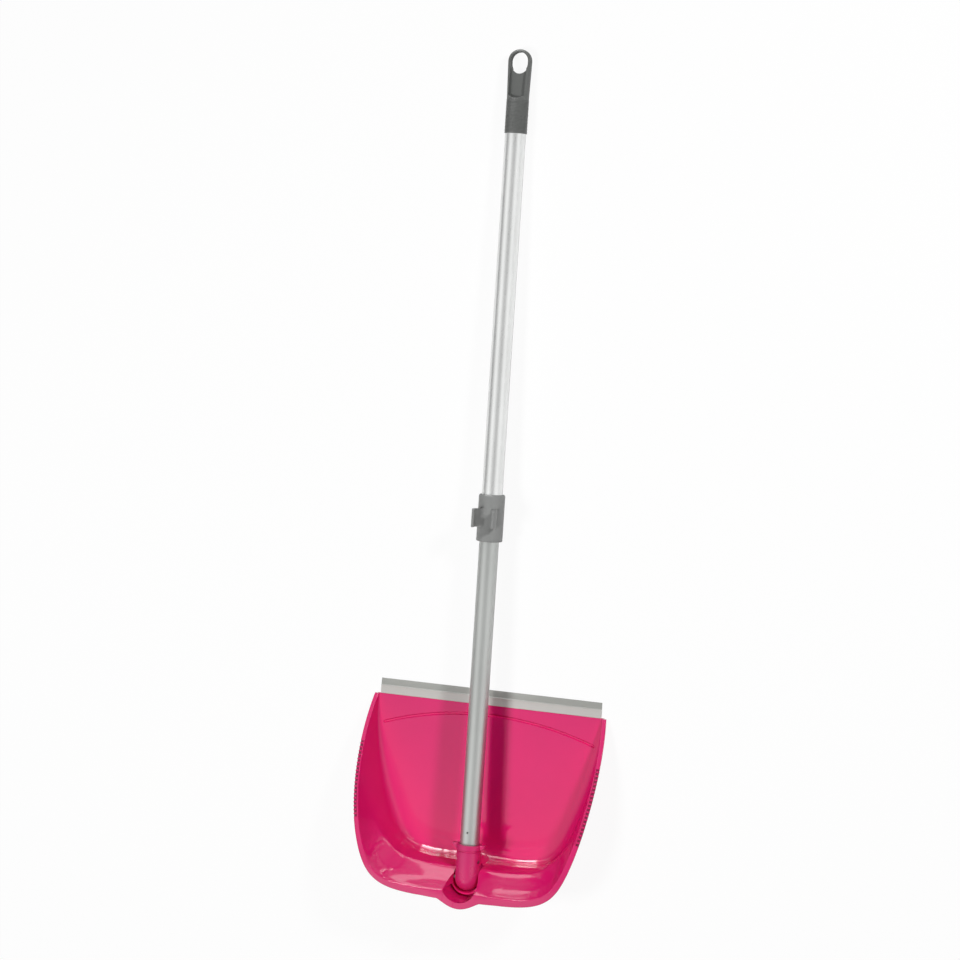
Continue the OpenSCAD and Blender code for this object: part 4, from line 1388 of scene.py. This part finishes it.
def seen(tree, camera, mirrored):
    """A share for camera rays, one for glossy and transmission rays, and 0 for the rest."""
    path = tree.nodes.new("ShaderNodeLightPath")
    total = 0
    for ray, share in (("Camera", camera), ("Glossy", mirrored), ("Transmission", mirrored)):
        part = reckoned(tree, "MULTIPLY", path.outputs[f"Is {ray} Ray"], share)
        total = reckoned(tree, "MAXIMUM", total, part)
    return total


def walls_light(tree, x):
    """What mirrors see of the walls at a direction's x, as a share of the walls' top."""
    share = reckoned(tree, "MULTIPLY_ADD", x, 0.5, 0.5)
    ramp = node(tree, "ShaderNodeFloatCurve", {"Value": share})
    line = ramp.mapping.curves[0]
    for point, (at, level) in zip((line.points[0], line.points[1]), (WALLS[0], WALLS[-1])):
        point.location = ((at + 1) / 2, level / WALLS_TOP)
    for at, level in WALLS[1:-1]:
        line.points.new((at + 1) / 2, level / WALLS_TOP)
    ramp.mapping.update()
    return ramp.outputs["Value"]


class DUSTPAN_OT_stage(bpy.types.Operator):
    """Set the pale floor, the soft light and the camera"""

    bl_idname = "dustpan.stage"
    bl_label = "Stage"

    def execute(self, context):
        scene = context.scene
        scene.view_settings.view_transform = "Standard"
        self.floor(scene)
        self.world(scene)
        for name, values in LAMPS.items():
            self.lamp(scene, name, *values)
        self.camera(scene)
        return {"FINISHED"}

    def floor(self, scene):
        """The pale floor, which glows a little towards the camera and mirrors."""
        square = ((-1, -1), (1, -1), (1, 1), (-1, 1))
        corners = [(x * FLOOR_REACH, y * FLOOR_REACH, -FLOOR_GAP) for x, y in square]
        mesh = bpy.data.meshes.new("floor")
        mesh.from_pydata(corners, [], [(0, 1, 2, 3)])
        piece = bpy.data.objects.new("floor", mesh)
        scene.collection.objects.link(piece)
        material = bare_material("floor_white")
        tree = material.node_tree
        matte = node(tree, "ShaderNodeBsdfDiffuse", {"Color": FLOOR_TONE})
        glow = node(tree, "ShaderNodeEmission", {"Strength": 1})
        both = mixed(tree, seen(tree, FLOOR_SEEN, FLOOR_MIRRORED), matte, glow)
        node(tree, "ShaderNodeOutputMaterial", {"Surface": both.outputs[0]})
        mesh.materials.append(material)

    def world(self, scene):
        """Soft light for the piece, walls for mirrors, and white for the camera."""
        world = bpy.data.worlds.new("studio")
        scene.world = world
        world.use_nodes = True
        tree = world.node_tree
        tree.nodes.clear()
        soft = node(tree, "ShaderNodeBackground", {"Color": WHITE, "Strength": WORLD_SOFT})
        white = node(tree, "ShaderNodeBackground", {"Color": WHITE, "Strength": 1})
        around = tree.nodes.new("ShaderNodeTexCoord").outputs["Generated"]
        split = node(tree, "ShaderNodeSeparateXYZ", {"Vector": around})
        level = reckoned(tree, "MULTIPLY", walls_light(tree, split.outputs["X"]), WALLS_TOP)
        gain = spread(tree, split.outputs["Y"], 1, 1 + BACK_GAIN, (-BACK_FROM, -BACK_FULL))
        walls = node(tree, "ShaderNodeBackground", {"Strength": reckoned(tree, "MULTIPLY", level, gain)})
        inner = mixed(tree, seen(tree, 0, 1), soft, walls)
        outer = mixed(tree, seen(tree, 1, 0), inner, white)
        node(tree, "ShaderNodeOutputWorld", {"Surface": outer.outputs[0]})

    def lamp(self, scene, name, place, target, wide, high, watts, unseen):
        """An area lamp, out of sight for some rays."""
        light = bpy.data.lights.new(name, "AREA")
        light.shape, light.size, light.size_y, light.energy = "RECTANGLE", wide, high, watts
        lamp = bpy.data.objects.new(name, light)
        lamp.location = place
        lamp.rotation_mode = "QUATERNION"
        lamp.rotation_quaternion = (Vector(target) - Vector(place)).to_track_quat("-Z", "Y")
        for ray in unseen:
            setattr(lamp, f"visible_{ray}", False)
        scene.collection.objects.link(lamp)

    def camera(self, scene):
        """The camera, as fitted to the photograph."""
        lens = bpy.data.cameras.new("camera")
        lens.sensor_width, lens.lens = SENSOR, LENS
        lens.clip_start, lens.clip_end = NEAREST, FARTHEST
        camera = bpy.data.objects.new("camera", lens)
        camera.matrix_world = Matrix(CAMERA_AXES).transposed().to_4x4()
        camera.location = CAMERA_PLACE
        scene.collection.objects.link(camera)
        scene.camera = camera


MAKERS = (
    DUSTPAN_OT_scoop,
    DUSTPAN_OT_comb,
    DUSTPAN_OT_lip,
    DUSTPAN_OT_socket,
    DUSTPAN_OT_tubes,
    DUSTPAN_OT_collar,
    DUSTPAN_OT_grip,
    DUSTPAN_OT_hidden,
    DUSTPAN_OT_stage,
)


class DUSTPAN_PT_makers(bpy.types.Panel):
    """The dustpan's sizes, finishes and makers"""

    bl_idname = "DUSTPAN_PT_makers"
    bl_label = "Dustpan"
    bl_space_type = "VIEW_3D"
    bl_region_type = "UI"
    bl_category = "Dustpan"

    def draw(self, context):
        scene = context.scene
        for group in (scene.dustpan_scoop, scene.dustpan_handle, scene.dustpan_finishes):
            box = self.layout.box()
            for key in group.__annotations__:
                box.prop(group, key)
        for maker in MAKERS:
            self.layout.operator(maker.bl_idname)


CLASSES = (ScoopSizes, HandleSizes, Finishes, *MAKERS, DUSTPAN_PT_makers)


def register():
    """Register the classes and hang the sizes on the scene."""
    for item in CLASSES:
        bpy.utils.register_class(item)
    bpy.types.Scene.dustpan_scoop = PointerProperty(type=ScoopSizes)
    bpy.types.Scene.dustpan_handle = PointerProperty(type=HandleSizes)
    bpy.types.Scene.dustpan_finishes = PointerProperty(type=Finishes)


def unregister():
    """Take the sizes off the scene and the classes out."""
    del bpy.types.Scene.dustpan_finishes
    del bpy.types.Scene.dustpan_handle
    del bpy.types.Scene.dustpan_scoop
    for item in reversed(CLASSES):
        bpy.utils.unregister_class(item)


def main():
    """Make every piece."""
    register()
    for maker in MAKERS:
        group, name = maker.bl_idname.split(".")
        getattr(getattr(bpy.ops, group), name)()


if __name__ == "__main__":
    main()
